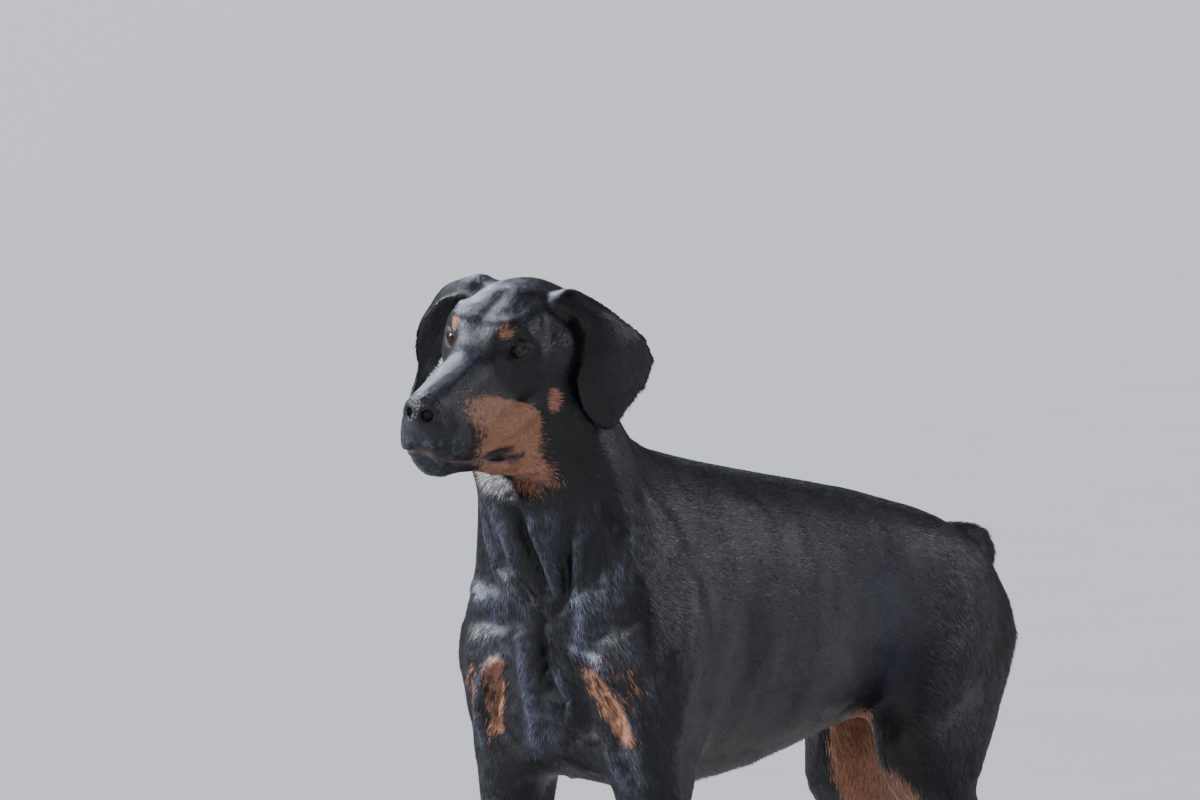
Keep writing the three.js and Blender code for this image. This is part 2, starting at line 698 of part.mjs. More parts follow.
// Where each leg is parted from the trunk, as side and front outlines.
const FORELEG_SIDE = [
  [-45, 500],
  [170, 500],
  [190, 300],
  [190, -20],
  [10, -20],
  [-10, 330],
  [-45, 400],
];
const FORELEG_FRONT = [
  [160, 520],
  [62, 520],
  [50, 430],
  [38, 376],
  [36, 325],
  [6, 300],
  [6, -30],
  [160, -30],
];
const HINDLEG_SIDE = [
  [-285, 330],
  [-320, 400],
  [-343, 470],
  [-388, 532],
  [-470, 520],
  [-512, 500],
  [-640, 470],
  [-690, -20],
  [-285, -20],
];
const HINDLEG_FRONT = [
  [170, 560],
  [48, 560],
  [44, 470],
  [24, 405],
  [22, 350],
  [3, 330],
  [3, -30],
  [170, -30],
];
const TAIL_SIDE = [
  [-502, 570],
  [-502, 502],
  [-538, 466],
  [-610, 466],
  [-610, 570],
];
const TAIL_FRONT = [
  [-60, 600],
  [-60, 440],
  [60, 440],
  [60, 600],
];
const sides = [
  ["left", 1],
  ["right", -1],
];

// Where the nose leather and the lower jaw are parted from the head, in the head's own frame.
const NOSE_SIDE = [
  [165, 10],
  [171, -30],
  [168, -46],
  [205, -50],
  [210, 10],
];
const NOSE_FRONT = [
  [-24, 20],
  [-24, -42],
  [-6, -56],
  [6, -56],
  [24, -42],
  [24, 20],
];
const NOSTRIL = { at: [184, 8.6, -25], radii: [8, 3.6, 4.4], turn: -24 };
const JAW_SIDE = [
  [210, -57],
  [180, -61],
  [156, -76],
  [130, -87],
  [104, -94],
  [86, -92],
  [66, -78],
  [30, -68],
  [10, -84],
  [0, -150],
  [210, -150],
];
const JAW_FRONT = [
  [-90, 0],
  [-90, -150],
  [90, -150],
  [90, 0],
];

// The eyes look outwards. Between the lids an almond is cut from the front of the eye to the outside.
const LID_DEPTH = 5;

function eyeball(side, radius) {
  const globe = new THREE.SphereGeometry(radius, 12, 8).translate(EYE.x, EYE.y * side, EYE.z);
  return solidOf(globe.applyMatrix4(headMatrix));
}

function lidOpening(side) {
  const { length, height } = EYE_OPENING;
  const almond = new THREE.Shape();
  const corner = (length / 2) * side;
  almond.moveTo(-corner, -2);
  almond.quadraticCurveTo(-corner * 0.2, height, corner, 0);
  almond.quadraticCurveTo(-corner * 0.1, -height, -corner, -2);
  const options = { depth: 4 * EYE_RADIUS, bevelEnabled: false, curveSegments: 6 };
  const prism = new THREE.ExtrudeGeometry(almond, options);
  const up = new THREE.Vector3(0, 0, 1);
  const aim = new THREE.Vector3(1, 0, 0).applyAxisAngle(up, turned(EYE_TURN * side));
  const sideways = up.clone().cross(aim);
  const frame = new THREE.Matrix4().makeBasis(sideways, up, aim);
  prism.translate(0, 0, LID_DEPTH).applyMatrix4(frame).translate(EYE.x, EYE.y * side, EYE.z);
  return solidOf(prism.applyMatrix4(headMatrix));
}

// A hanging ear: its front and back edge, from the root in the skull to the tip, in the head's own frame.
const EARS = {
  left: [
    { front: [14, 26, 4], back: [-26, 26, 2] },
    { front: [12, 44, 14], back: [-28, 46, 9] },
    { front: [1, 66, -14], back: [-46, 80, -20] },
    { front: [26, 66, -38], back: [-70, 92, -52] },
    { front: [30, 68, -62], back: [-56, 95, -76] },
    { front: [23, 74, -86], back: [-24, 93, -88] },
    { front: [8, 80, -102], back: [-3, 85, -102] },
  ],
  right: [
    { front: [14, -26, 4], back: [-26, -26, 2] },
    { front: [14, -44, 11], back: [-28, -46, 9] },
    { front: [24, -70, -3], back: [-39, -75, -6] },
    { front: [32, -85, -24], back: [-51, -89, -30] },
    { front: [32, -88.5, -46], back: [-48, -92, -59] },
    { front: [29, -87.5, -63], back: [-17, -90, -77] },
    { front: [36, -85, -73], back: [15, -86, -82] },
    { front: [52, -82, -82], back: [46, -81, -87] },
  ],
};
const EAR_CAMBER = 7;
const EAR_STEPS = 7;
const EAR_SPANS = 4;

// Each section is a thin curved blade between the two edges.
function ear(stations, move = [0, 0, 0]) {
  const side = Math.sign(stations[0].front[1]);
  const [frontEdge, backEdge] = ["front", "back"].map((edge) => {
    const points = stations.map((station) => new THREE.Vector3(...station[edge]));
    return new THREE.CatmullRomCurve3(points, false, "catmullrom", 0.5);
  });
  const middleAt = (t) => frontEdge.getPoint(t).lerp(backEdge.getPoint(t), 0.5);
  const nudge = 0.05;
  const sections = [];
  for (let step = 0; step <= EAR_STEPS; step++) {
    const t = step / EAR_STEPS;
    const along = middleAt(Math.min(1, t + nudge)).sub(middleAt(Math.max(0, t - nudge))).normalize();
    const [from, to] = [frontEdge, backEdge].map((edge) => edge.getPoint(t));
    const widthways = to.clone().sub(from).normalize();
    const outward = along.cross(widthways).setLength(side);
    const rows = [1, -1].map((face) =>
      Array.from({ length: EAR_SPANS + 1 }, (_, n) => {
        const share = n / EAR_SPANS;
        const round = Math.sin(Math.PI * share);
        const lift = EAR_CAMBER * round + face * EAR_THICKNESS * mix(0.2, 0.5, round);
        return from.clone().lerp(to, share).addScaledVector(outward, lift);
      }),
    );
    sections.push([...rows[0], ...rows[1].reverse()]);
  }
  return solidOf(lofted(sections).translate(...move).applyMatrix4(headMatrix));
}

// The slot of an ear: copies of it moved a little each way.
const EAR_GAP = 0.5;
const NUDGES = [
  [1, 1, 1],
  [1, -1, -1],
  [-1, 1, -1],
  [-1, -1, 1],
].map((way) => way.map((v) => v * EAR_GAP));
const earSlots = sides.flatMap(([name]) => [[0, 0, 0], ...NUDGES].map((move) => ear(EARS[name], move)));

// A claw: a short cone from its root along a way, bent down towards its tip.
const CLAW_RINGS = [
  { t: 0, size: 1 },
  { t: 0.45, size: 0.82 },
  { t: 0.8, size: 0.5 },
  { t: 1, size: 0.18 },
];
const CLAW_SIDES = 5;

function claw(root, way, bend, growth) {
  const start = new THREE.Vector3(...root);
  const forward = new THREE.Vector3(...way).normalize();
  const down = new THREE.Vector3(...bend).normalize();
  const along = (ahead, under) =>
    start.clone().addScaledVector(forward, CLAW_LENGTH * ahead).addScaledVector(down, CLAW_LENGTH * under);
  const knee = along(0.6, -0.1);
  const tip = along(1, 0.5);
  const line = new THREE.QuadraticBezierCurve3(start, knee, tip);
  const sideways = forward.clone().cross(down);
  const sections = CLAW_RINGS.map(({ t, size }) => {
    const centre = line.getPoint(t);
    const lift = sideways.clone().cross(line.getTangent(t));
    return Array.from({ length: CLAW_SIDES }, (_, n) => {
      const turn = ((n + 0.5) / CLAW_SIDES) * 2 * Math.PI;
      const radius = CLAW_RADIUS * size + growth;
      return centre
        .clone()
        .addScaledVector(sideways, 0.8 * radius * Math.sin(turn))
        .addScaledVector(lift, radius * Math.cos(turn));
    });
  });
  return solidOf(lofted(sections));
}

// The claws of a paw, each rooted in the front of its toe.
const CLAW_ROOT = [3, 0, 4];
const pawClaws = (knuckles, scale, growth) =>
  TOES.map((toe) => {
    const root = shifted(toeTip(knuckles, toe, scale), ...CLAW_ROOT);
    return claw(root, [1, 0, 0], [0, 0, -1], growth);
  });
const dewClaw = (side, growth) => {
  const root = shifted(across(FORELEG.wrist, side), -3, -side * 20, -38);
  return claw(root, [0.5, 0, -0.87], [-0.87, 0, -0.5], growth);
};

const legRegions = sides.flatMap(([, side]) => [
  region(FORELEG_SIDE, FORELEG_FRONT, { side, grow: JOINT_GAP }),
  region(HINDLEG_SIDE, HINDLEG_FRONT, { side, grow: JOINT_GAP }),
]);
const tailRegion = region(TAIL_SIDE, TAIL_FRONT, { grow: JOINT_GAP });

const trunkBox = [
  [-580, -133, 310],
  [170, 133, 660],
];
addPart("trunk", flesh(still, ...trunkBox, [29, 19, 18], [behind(collar)], [...legRegions, tailRegion]));

const neckFrame = new THREE.Matrix4().makeRotationY(turned(25)).setPosition(120, 0, 640);
const neckBox = [
  [-150, -130, -190],
  [130, 130, 190],
];
const neckKeep = [ahead(collar), behind(nape)];
addPart("neck", flesh(neckFrame, ...neckBox, [17, 16, 21], neckKeep, [...legRegions, ...earSlots]));

const tailKeep = [region(TAIL_SIDE, TAIL_FRONT)];
addPart("tail", flesh(still, [-600, -50, 450], [-480, 50, 570], [9, 9, 9], tailKeep));

// The head is cut for the nose leather, the lower jaw, the eyes, the openings of their lids, and the ears.
const headBox = [
  [-90, -70, -130],
  [204, 70, 48],
];
const headCuts = [
  region(NOSE_SIDE, NOSE_FRONT, { grow: JOINT_GAP, frame: headMatrix }),
  region(JAW_SIDE, JAW_FRONT, { grow: JOINT_GAP, frame: headMatrix }),
  ...sides.flatMap(([, side]) => [eyeball(side, EYE_RADIUS + JOINT_GAP), lidOpening(side)]),
  ...earSlots,
];
addPart("head", flesh(headMatrix, ...headBox, [7.8, 7.8, 7.8], [ahead(nape)], headCuts, 0.2));

const jawKeep = [ahead(nape), region(JAW_SIDE, JAW_FRONT, { frame: headMatrix })];
addPart("lower_jaw", flesh(headMatrix, ...headBox, [8, 8, 8], jawKeep, earSlots, 0.2));

const noseBox = [
  [150, -34, -64],
  [204, 34, 8],
];
const noseKeep = [region(NOSE_SIDE, NOSE_FRONT, { frame: headMatrix })];
const nostrils = sides.map(([, side]) => {
  const { at, radii, turn } = NOSTRIL;
  const hole = new THREE.SphereGeometry(1, 8, 6).scale(...radii).rotateZ(turned(side * turn));
  return solidOf(hole.translate(at[0], side * at[1], at[2]).applyMatrix4(headMatrix));
});
addPart("nose_leather", flesh(headMatrix, ...noseBox, [5, 5, 5], noseKeep, nostrils, 0.22), LEATHER);

sides.forEach(([name, side]) => {
  addPart("eye_" + name, eyeball(side, EYE_RADIUS), EYE_FINISH);
  addPart("ear_" + name, ear(EARS[name]));
});

// A leg is cut into pieces across its own region. Each piece is sampled in a box given by its low and high
// corners in the side view, and reaches from just over the middle plane to the outside of the leg.
const LEG_REACH = { inner: -6, outer: 136 };

function legPiece(side, own, [lowX, lowZ], [highX, highZ], cell, keep, drop = []) {
  const ends = [LEG_REACH.inner * side, LEG_REACH.outer * side];
  const [inner, outer] = [Math.min(...ends), Math.max(...ends)];
  return flesh(still, [lowX, inner, lowZ], [highX, outer, highZ], cell, [...own, ...keep], drop);
}

const elbowCut = level(CUT_HEIGHT.elbow);
const wristCut = level(CUT_HEIGHT.wrist);
const foreFootCut = level(CUT_HEIGHT.foreFoot);
const hindFootCut = level(CUT_HEIGHT.hindFoot);
const PAW_CELL = [7.4, 7.4, 7.4];

for (const [name, side] of sides) {
  const own = [region(FORELEG_SIDE, FORELEG_FRONT, { side }), behind(collar)];
  const piece = (...rest) => legPiece(side, own, ...rest);
  addPart("shoulder_" + name, piece([-70, 310], [180, 530], [17, 15, 17], [ahead(elbowCut)]));
  const forearm = [behind(elbowCut), ahead(wristCut)];
  addPart("forearm_" + name, piece([0, 100], [170, 380], [10, 10, 19], forearm));
  const pastern = [behind(wristCut), ahead(foreFootCut)];
  const dewSlot = [dewClaw(side, JOINT_GAP)];
  addPart("fore_pastern_" + name, piece([30, 30], [150, 160], [9, 9, 10], pastern, dewSlot));
  addPart("dewclaw_" + name, dewClaw(side, 0), HORN);
  const knuckles = across(FORELEG.knuckles, side);
  const foot = [behind(foreFootCut), floor];
  const slots = pawClaws(knuckles, 1, JOINT_GAP);
  addPart("fore_paw_" + name, piece([50, -20], [180, 80], PAW_CELL, foot, slots));
  pawClaws(knuckles, 1, 0).forEach((nail, n) => addPart("claw_fore_" + name + "_" + (n + 1), nail, HORN));
}

// The cuts of a hind leg lie across the limb: one under the knee, one low on the shin.
const KNEE_DROP = 22;
const ANKLE_SHARE = 0.86;

for (const [name, side, joints] of [
  ["left", 1, HIND_LEFT],
  ["right", -1, HIND_RIGHT],
]) {
  const { stifle, hock, knuckles } = joints;
  const own = [region(HINDLEG_SIDE, HINDLEG_FRONT, { side })];
  const piece = (...rest) => legPiece(side, own, ...rest);
  const knee = { at: shifted(stifle, 0, 0, -KNEE_DROP), facing: [0.1, 0, 1] };
  const ankle = {
    at: stifle.map((v, i) => mix(v, hock[i], ANKLE_SHARE)),
    facing: [hock[0] - stifle[0], 0, hock[2] - stifle[2]],
  };
  addPart("thigh_" + name, piece([-570, 250], [-260, 560], [19, 15, 19], [ahead(knee)], [tailRegion]));
  addPart("shank_" + name, piece([-660, 130], [-270, 350], [12, 10, 12], [behind(knee), behind(ankle)]));
  const pastern = [ahead(ankle), ahead(hindFootCut)];
  addPart("hind_pastern_" + name, piece([hock[0] - 60, 40], [hock[0] + 60, 220], [9, 9, 13], pastern));
  const sole = across(knuckles, side);
  const foot = [behind(hindFootCut), floor];
  const slots = pawClaws(sole, HIND_PAW, JOINT_GAP);
  const [footX] = sole;
  addPart("hind_paw_" + name, piece([footX - 50, -20], [footX + 80, 80], PAW_CELL, foot, slots));
  pawClaws(sole, HIND_PAW, 0).forEach((nail, n) => addPart("claw_hind_" + name + "_" + (n + 1), nail, HORN));
}

const box = new THREE.Box3().setFromObject(group);
group.position.set(-(box.min.x + box.max.x) / 2, -(box.min.y + box.max.y) / 2, 0);

export default group;
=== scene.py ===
# %% [markdown]
# # A doberman pinscher, standing, as a life-size museum model
# A model of a living animal is built in layers, as the animal is: the bulk of the body, one skin drawn over
# it, the folds and lids of the face, then the coat. The bulk comes from the fixed frame: one solid for each
# region of the body. Everything below is fitted to those solids, in metres, with the head towards +X.

# %% Load the frame
import bpy
import math
import numpy as np
from mathutils import Euler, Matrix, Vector, noise
from mathutils.bvhtree import BVHTree


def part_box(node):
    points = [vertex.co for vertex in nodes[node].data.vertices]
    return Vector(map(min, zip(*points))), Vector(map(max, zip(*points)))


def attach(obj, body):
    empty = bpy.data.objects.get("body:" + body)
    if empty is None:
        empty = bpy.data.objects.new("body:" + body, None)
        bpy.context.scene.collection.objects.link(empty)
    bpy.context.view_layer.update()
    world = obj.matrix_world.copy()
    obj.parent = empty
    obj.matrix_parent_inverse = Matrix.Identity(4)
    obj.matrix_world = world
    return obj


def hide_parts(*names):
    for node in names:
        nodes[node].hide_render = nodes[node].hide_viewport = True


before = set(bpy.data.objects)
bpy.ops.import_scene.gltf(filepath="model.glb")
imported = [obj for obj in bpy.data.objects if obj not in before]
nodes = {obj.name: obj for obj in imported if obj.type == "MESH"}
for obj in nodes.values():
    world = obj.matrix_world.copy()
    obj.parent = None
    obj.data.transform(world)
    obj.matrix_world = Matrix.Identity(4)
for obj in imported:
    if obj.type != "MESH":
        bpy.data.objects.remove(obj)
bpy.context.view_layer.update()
bpy.ops.object.select_all(action="DESELECT")

# %% [markdown]
# ## Two rulers
# Anatomy is easiest to place in the animal's own measures. Body points are given in millimetres from the
# floor under the withers, and face points in millimetres from the middle of the head between the ears, with
# X along the muzzle. Both rulers hang on the eyes of the frame, so that they stay right if the frame moves.

# %% Rulers for the body and the head
MM = 0.001
HEAD_PLACE = np.array([183.0, 4.0, 772.0])
HEAD_TURN = Euler([math.radians(a) for a in (-8.7, 20.0, 6.1)], "XYZ")
HEAD_AXES = np.array(HEAD_TURN.to_matrix())
EYE_MIDDLE = np.array([57.5, 0.0, -12.0])


def node_middle(name):
    low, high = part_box(name)
    return np.array((low + high) / 2)


eyes_at = (node_middle("eye_left") + node_middle("eye_right")) / 2
BODY_ZERO = eyes_at - MM * (HEAD_PLACE + HEAD_AXES @ EYE_MIDDLE)


def to_body(points):
    return (np.asarray(points) - BODY_ZERO) / MM


def to_head(points):
    return (to_body(points) - HEAD_PLACE) @ HEAD_AXES


def from_head(points):
    return np.asarray(points) @ HEAD_AXES.T + HEAD_PLACE


print("withers stand over", np.round(BODY_ZERO, 4), "floor at", round(float(BODY_ZERO[2]), 4))

# %% [markdown]
# ## The skin, first as clay
# A sculptor would press all the lumps of clay together and smooth the joins. Here each solid of the frame
# is copied, swollen a little so that the thin cuts close, and joined. A voxel remesh then turns the heap
# into one closed surface of even small squares, the way clay has no seams.

# %% Press the regions of the body into one lump
VOXEL = 2.5
SWELL = 0.55
EYE_SWELL = 2.2
HORN = sorted(n for n in nodes if "claw" in n)
EYES = ["eye_left", "eye_right"]
FLESH = sorted(n for n in nodes if n not in HORN + EYES)


def only(obj):
    bpy.ops.object.select_all(action="DESELECT")
    obj.select_set(True)
    bpy.context.view_layer.objects.active = obj


def merged_copy(name, new_name):
    copy = nodes[name].copy()
    copy.data = nodes[name].data.copy()
    copy.parent = None
    for key in list(copy.keys()):
        del copy[key]
    copy.name = new_name
    bpy.context.scene.collection.objects.link(copy)
    only(copy)
    bpy.ops.object.mode_set(mode="EDIT")
    bpy.ops.mesh.select_all(action="SELECT")
    bpy.ops.mesh.remove_doubles(threshold=1e-6)
    bpy.ops.object.mode_set(mode="OBJECT")
    return copy


def read(items, name, width=3):
    flat = np.empty(len(items) * width)
    items.foreach_get(name, flat)
    return flat.reshape(-1, width)


def move_points(mesh, points):
    mesh.vertices.foreach_set("co", np.ascontiguousarray(points, dtype=float).ravel())
    mesh.update()


def apply_modifier(obj, kind, **settings):
    only(obj)
    modifier = obj.modifiers.new(kind.title(), kind)
    for key, value in settings.items():
        setattr(modifier, key, value)
    bpy.ops.object.modifier_apply(modifier=modifier.name)


def joined(pieces, name):
    bpy.ops.object.select_all(action="DESELECT")
    for piece in pieces:
        piece.select_set(True)
    bpy.context.view_layer.objects.active = pieces[0]
    bpy.ops.object.join()
    whole = bpy.context.view_layer.objects.active
    whole.name = whole.data.name = name
    whole.data.materials.clear()
    return whole


# %% [markdown]
# The ears hang half a millimetre from the cheek, closer than the squares of the clay can tell apart. So
# each ear is lifted away from the head before the pressing, as one would lift it by hand, and laid back
# afterwards by the same amounts. Under the fold of each ear goes a pad of clay, the gristle that carries
# the ear.

# %% Lift the ears, press, and lay them back
EAR_LIFT = 0.28
LIFT_FROM = -1.0
EAR_PADS = (((-2, 40, -1), (18, 11, 12)), ((-4, -46, -3), (20, 17, 13)))
SHOULDER_PADS = (((128, 68, 492), (18, 22, 17)), ((126, -74, 494), (18, 22, 17)))


def lift(head_points, side):
    below = np.maximum(LIFT_FROM - head_points[:, 2], 0)
    return np.stack([below * 0, side * EAR_LIFT * below, below * 0], 1)


def to_world(head_points):
    return BODY_ZERO + MM * from_head(head_points)


def body_to_world(body_points):
    return BODY_ZERO + MM * np.asarray(body_points)


def pad_of_clay(place, size, placed):
    bpy.ops.object.select_all(action="DESELECT")
    bpy.ops.mesh.primitive_ico_sphere_add(subdivisions=3, radius=1, location=(0, 0, 0))
    pad = bpy.context.view_layer.objects.active
    move_points(pad.data, placed(read(pad.data.vertices, "co") * size + place))
    return pad


lumps, ear_lumps = [], []
for name in FLESH + EYES:
    lump = merged_copy(name, "lump_" + name)
    swell = EYE_SWELL if name in EYES else SWELL
    points = read(lump.data.vertices, "co") + read(lump.data.vertices, "normal") * swell * MM
    if name.startswith("ear"):
        in_head = to_head(points)
        points = to_world(in_head + lift(in_head, np.sign(in_head[:, 1].mean())))
        ear_lumps.append(lump)
    move_points(lump.data, points)
    lumps.append(lump)
ear_trees = [BVHTree.FromObject(lump, bpy.context.evaluated_depsgraph_get()) for lump in ear_lumps]
rest_trees = [
    BVHTree.FromObject(lump, bpy.context.evaluated_depsgraph_get())
    for lump in lumps
    if lump.name in ("lump_head", "lump_neck", "lump_lower_jaw", "lump_trunk")
]
lumps += [pad_of_clay(place, size, to_world) for place, size in EAR_PADS]
lumps += [pad_of_clay(place, size, body_to_world) for place, size in SHOULDER_PADS]
skin = joined(lumps, "skin")
apply_modifier(skin, "REMESH", mode="VOXEL", voxel_size=VOXEL * MM, use_smooth_shade=True)

points = read(skin.data.vertices, "co")
in_head = to_head(points)
on_ear = np.zeros(len(points))
ear_trees.sort(key=lambda tree: -to_head([tree.find_nearest(eyes_at)[0]])[0][1])
for side, tree in zip((1, -1), ear_trees):
    near = (side * in_head[:, 1] > 26) & (in_head[:, 0] < 60) & (in_head[:, 2] > -150)
    for i in np.nonzero(near)[0]:
        own = tree.find_nearest(points[i])[3]
        on_ear[i] = own < min(rest.find_nearest(points[i])[3] for rest in rest_trees)
    mine = (on_ear > 0) & near
    in_head[mine] -= lift(in_head[mine], side)
move_points(skin.data, to_world(in_head))
skin.data.attributes.new("ear", "FLOAT", "POINT").data.foreach_set("value", on_ear)
print("clay", len(points), "points, of them on the ears", int(on_ear.sum()))

# %% [markdown]
# ## Clay where it is needed
# The broad trunk carries no small forms, so its squares are thinned out, and what that saves is spent on
# the face, where lips, brow and wrinkles need squares about a millimetre wide.

# %% Thin the trunk and limbs, refine the face
TRUNK_KEEPS, LIMBS_KEEP, BREAST_KEEPS, CROWN_KEEPS, PAWS_KEEP = 0.13, 0.18, 0.42, 0.36, 0.4
PAW_TOP = 45
BROW_SPOT = (57.5, 29.5, 12.0)


def ramp(value, low, high):
    t = np.clip((value - low) / (high - low), 0, 1)
    return t * t * (3 - 2 * t)


def select_faces(mesh, chosen):
    for items in (mesh.vertices, mesh.edges, mesh.polygons):
        items.foreach_set("select", np.zeros(len(items), dtype=bool))
    mesh.polygons.foreach_set("select", chosen)


def head_share(points):
    body, head = to_body(points), to_head(points)
    return ramp(head[:, 0], -45, -15) * ramp(body[:, 2], 600, 640)


def thin_out(obj, chosen, ratio):
    only(obj)
    select_faces(obj.data, chosen)
    bpy.ops.object.mode_set(mode="EDIT")
    bpy.ops.mesh.select_mode(type="FACE")
    bpy.ops.mesh.decimate(ratio=ratio)
    bpy.ops.object.mode_set(mode="OBJECT")


def refine(obj, chosen):
    only(obj)
    select_faces(obj.data, chosen)
    bpy.ops.object.mode_set(mode="EDIT")
    bpy.ops.mesh.select_mode(type="FACE")
    bpy.ops.mesh.subdivide(number_cuts=1)
    bpy.ops.object.mode_set(mode="OBJECT")


def regions(mesh):
    middles = read(mesh.polygons, "center")
    body = to_body(middles)
    below_head = (head_share(middles) < 0.01) & (body[:, 2] > PAW_TOP)
    trunk = (body[:, 0] < 60) & (body[:, 2] > 330)
    breast = (body[:, 0] > 40) & (body[:, 2] > 370)
    return body, to_head(middles), below_head, trunk, breast


def from_brow(head):
    return np.linalg.norm(np.abs(head) * (1, 1, -1) - BROW_SPOT, axis=1)


body, head, below_head, trunk, breast = regions(skin.data)
thin_out(skin, below_head & trunk & (body[:, 2] < 640), TRUNK_KEEPS)
body, head, below_head, trunk, breast = regions(skin.data)
thin_out(skin, below_head & ~trunk & ~breast, LIMBS_KEEP)
body, head, below_head, trunk, breast = regions(skin.data)
thin_out(skin, below_head & ~trunk & breast & (body[:, 2] < 700), BREAST_KEEPS)
body, head, below_head, trunk, breast = regions(skin.data)
crown = (head[:, 0] < 34) & (head[:, 0] > -60) & (np.abs(head[:, 1]) < 56)
thin_out(skin, ~below_head & crown, CROWN_KEEPS)
body, head, below_head, trunk, breast = regions(skin.data)
thin_out(skin, body[:, 2] < PAW_TOP, PAWS_KEEP)
body, head, below_head, trunk, breast = regions(skin.data)
muzzle = (head[:, 0] > 128) | ((head[:, 0] > 72) & (head[:, 2] < -36) & (head[:, 2] > -112))
refine(skin, (muzzle | (from_brow(head) < 24)) & ~below_head)
body, head, below_head, trunk, breast = regions(skin.data)
refine(skin, (from_brow(head) < 15) & (head[:, 0] > 52))
print("skin", len(skin.data.vertices), "points", len(skin.data.polygons), "faces")

# %% [markdown]
# ## Smoothing without losing weight
# Smoothing by averaging shrinks a form, as sanding does. So what the averaging took away is smoothed as
# well and given back, which removes facets and keeps limbs their thickness. The broad trunk takes many
# passes, the limbs, ears and face fewer, and the paws only a few, because their forms are small. Last the
# skin sinks by the depth of the coat, so that the tips of the hair end where the frame does.

# %% Smooth each region by its own number of passes
def edge_ends(mesh):
    flat = np.empty(len(mesh.edges) * 2, dtype=int)
    mesh.edges.foreach_get("vertices", flat)
    return flat.reshape(-1, 2).T


def averaged(field, ends, weight):
    a, b = np.r_[ends[0], ends[1]], np.r_[ends[1], ends[0]]
    count = np.maximum(np.bincount(a, minlength=len(field)), 1)
    sums = [np.bincount(a, weights=column[b], minlength=len(field)) for column in field.T]
    mean = np.stack(sums, 1) / count[:, None]
    return field + (mean - field) * weight[:, None]


def smoothed(field, ends, passes):
    for n in range(int(np.ceil(passes.max()))):
        field = averaged(field, ends, 0.5 * np.clip(passes - n, 0, 1))
    return field


def keep_weight(points, ends, passes):
    soft = smoothed(points, ends, passes)
    return soft + smoothed(points - soft, ends, passes)


TRUNK_PASSES, LIMB_PASSES = 60, 30
EAR_RIM_SOFT = 0.6
COAT_DEPTH = 1.4
mesh = skin.data
ends = edge_ends(mesh)
points = read(mesh.vertices, "co")
body, head = to_body(points), to_head(points)
on_head = head_share(points)
on_face = on_head * ramp(head[:, 0], 40, 60) * (1 - ramp(np.abs(head[:, 1]), 44, 50))
on_paw = 1 - ramp(body[:, 2], 70, 100)
on_ear = read(mesh.attributes["ear"].data, "value", 1)[:, 0]
on_limb = np.maximum(1 - ramp(body[:, 2], 300, 380), ramp(body[:, 0], 40, 80))
passes = TRUNK_PASSES - (TRUNK_PASSES - LIMB_PASSES) * on_limb
for share, count in ((on_paw, 6), (on_head, 9), (on_face, 26), (on_ear, 24)):
    passes = passes * (1 - share) + count * share
points = keep_weight(points, ends, passes)
for _ in range(3):
    points = averaged(points, ends, EAR_RIM_SOFT * on_ear)
move_points(mesh, points)
depth = COAT_DEPTH * (1 - 0.5 * on_head) * (1 - 0.5 * on_paw)
move_points(mesh, points - read(mesh.vertices, "normal") * (depth + SWELL)[:, None] * MM)
print("lowest point", round(float(read(mesh.vertices, "co")[:, 2].min()) / MM, 2), "mm")

# %% [markdown]
# ## Brushes
# With one skin in hand, the small forms are pressed in and built up as with a modelling tool. A stroke
# follows a path, a dab sits on one spot, and both move the skin straight in or out. Each is soft at its
# border, so that no stroke leaves a step.

# %% A stroke, a dab, and a way to use them on both sides
def near_path(points, path):
    path = np.asarray(path, dtype=float)
    best = np.full(len(points), np.inf)
    share = np.zeros(len(points))
    offset = np.zeros_like(points)
    for k, (a, b) in enumerate(zip(path, path[1:])):
        t = np.clip((points - a) @ (b - a) / ((b - a) @ (b - a)), 0, 1)
        away = points - a - t[:, None] * (b - a)
        length = np.linalg.norm(away, axis=1)
        closer = length < best
        best[closer] = length[closer]
        offset[closer] = away[closer]
        share[closer] = (k + t[closer]) / (len(path) - 1)
    return best, share, offset


def stroke(points, path, width, height):
    away, share, _ = near_path(points, path)
    return height * np.exp(-((away / width) ** 2)) * np.sin(np.pi * np.clip(share, 0.05, 0.95)) ** 0.5


def dab(points, place, size, height):
    return height * np.exp(-(((points - place) / size) ** 2).sum(1))


def worked(points, strokes, dabs):
    total = np.zeros(len(points))
    for path, width, height in strokes:
        total += stroke(points, path, width, height)
    for place, size, height in dabs:
        total += dab(points, np.array(place), np.array(size), height)
    return total


def push(mesh, amount):
    move_points(mesh, read(mesh.vertices, "co") + read(mesh.vertices, "normal") * amount[:, None] * MM)


def both_sides(points):
    return points * (1, 0, 1) + np.abs(points) * (0, 1, 0)


# %% [markdown]
# ## The head
# A doberman's head is a long blunt wedge with flat cheeks. Under the thin skin show the brow, the
# cheekbone, the round chewing muscle and, in front, the soft pads that carry the whiskers. Wrinkles gather
# behind those pads where the lip folds.

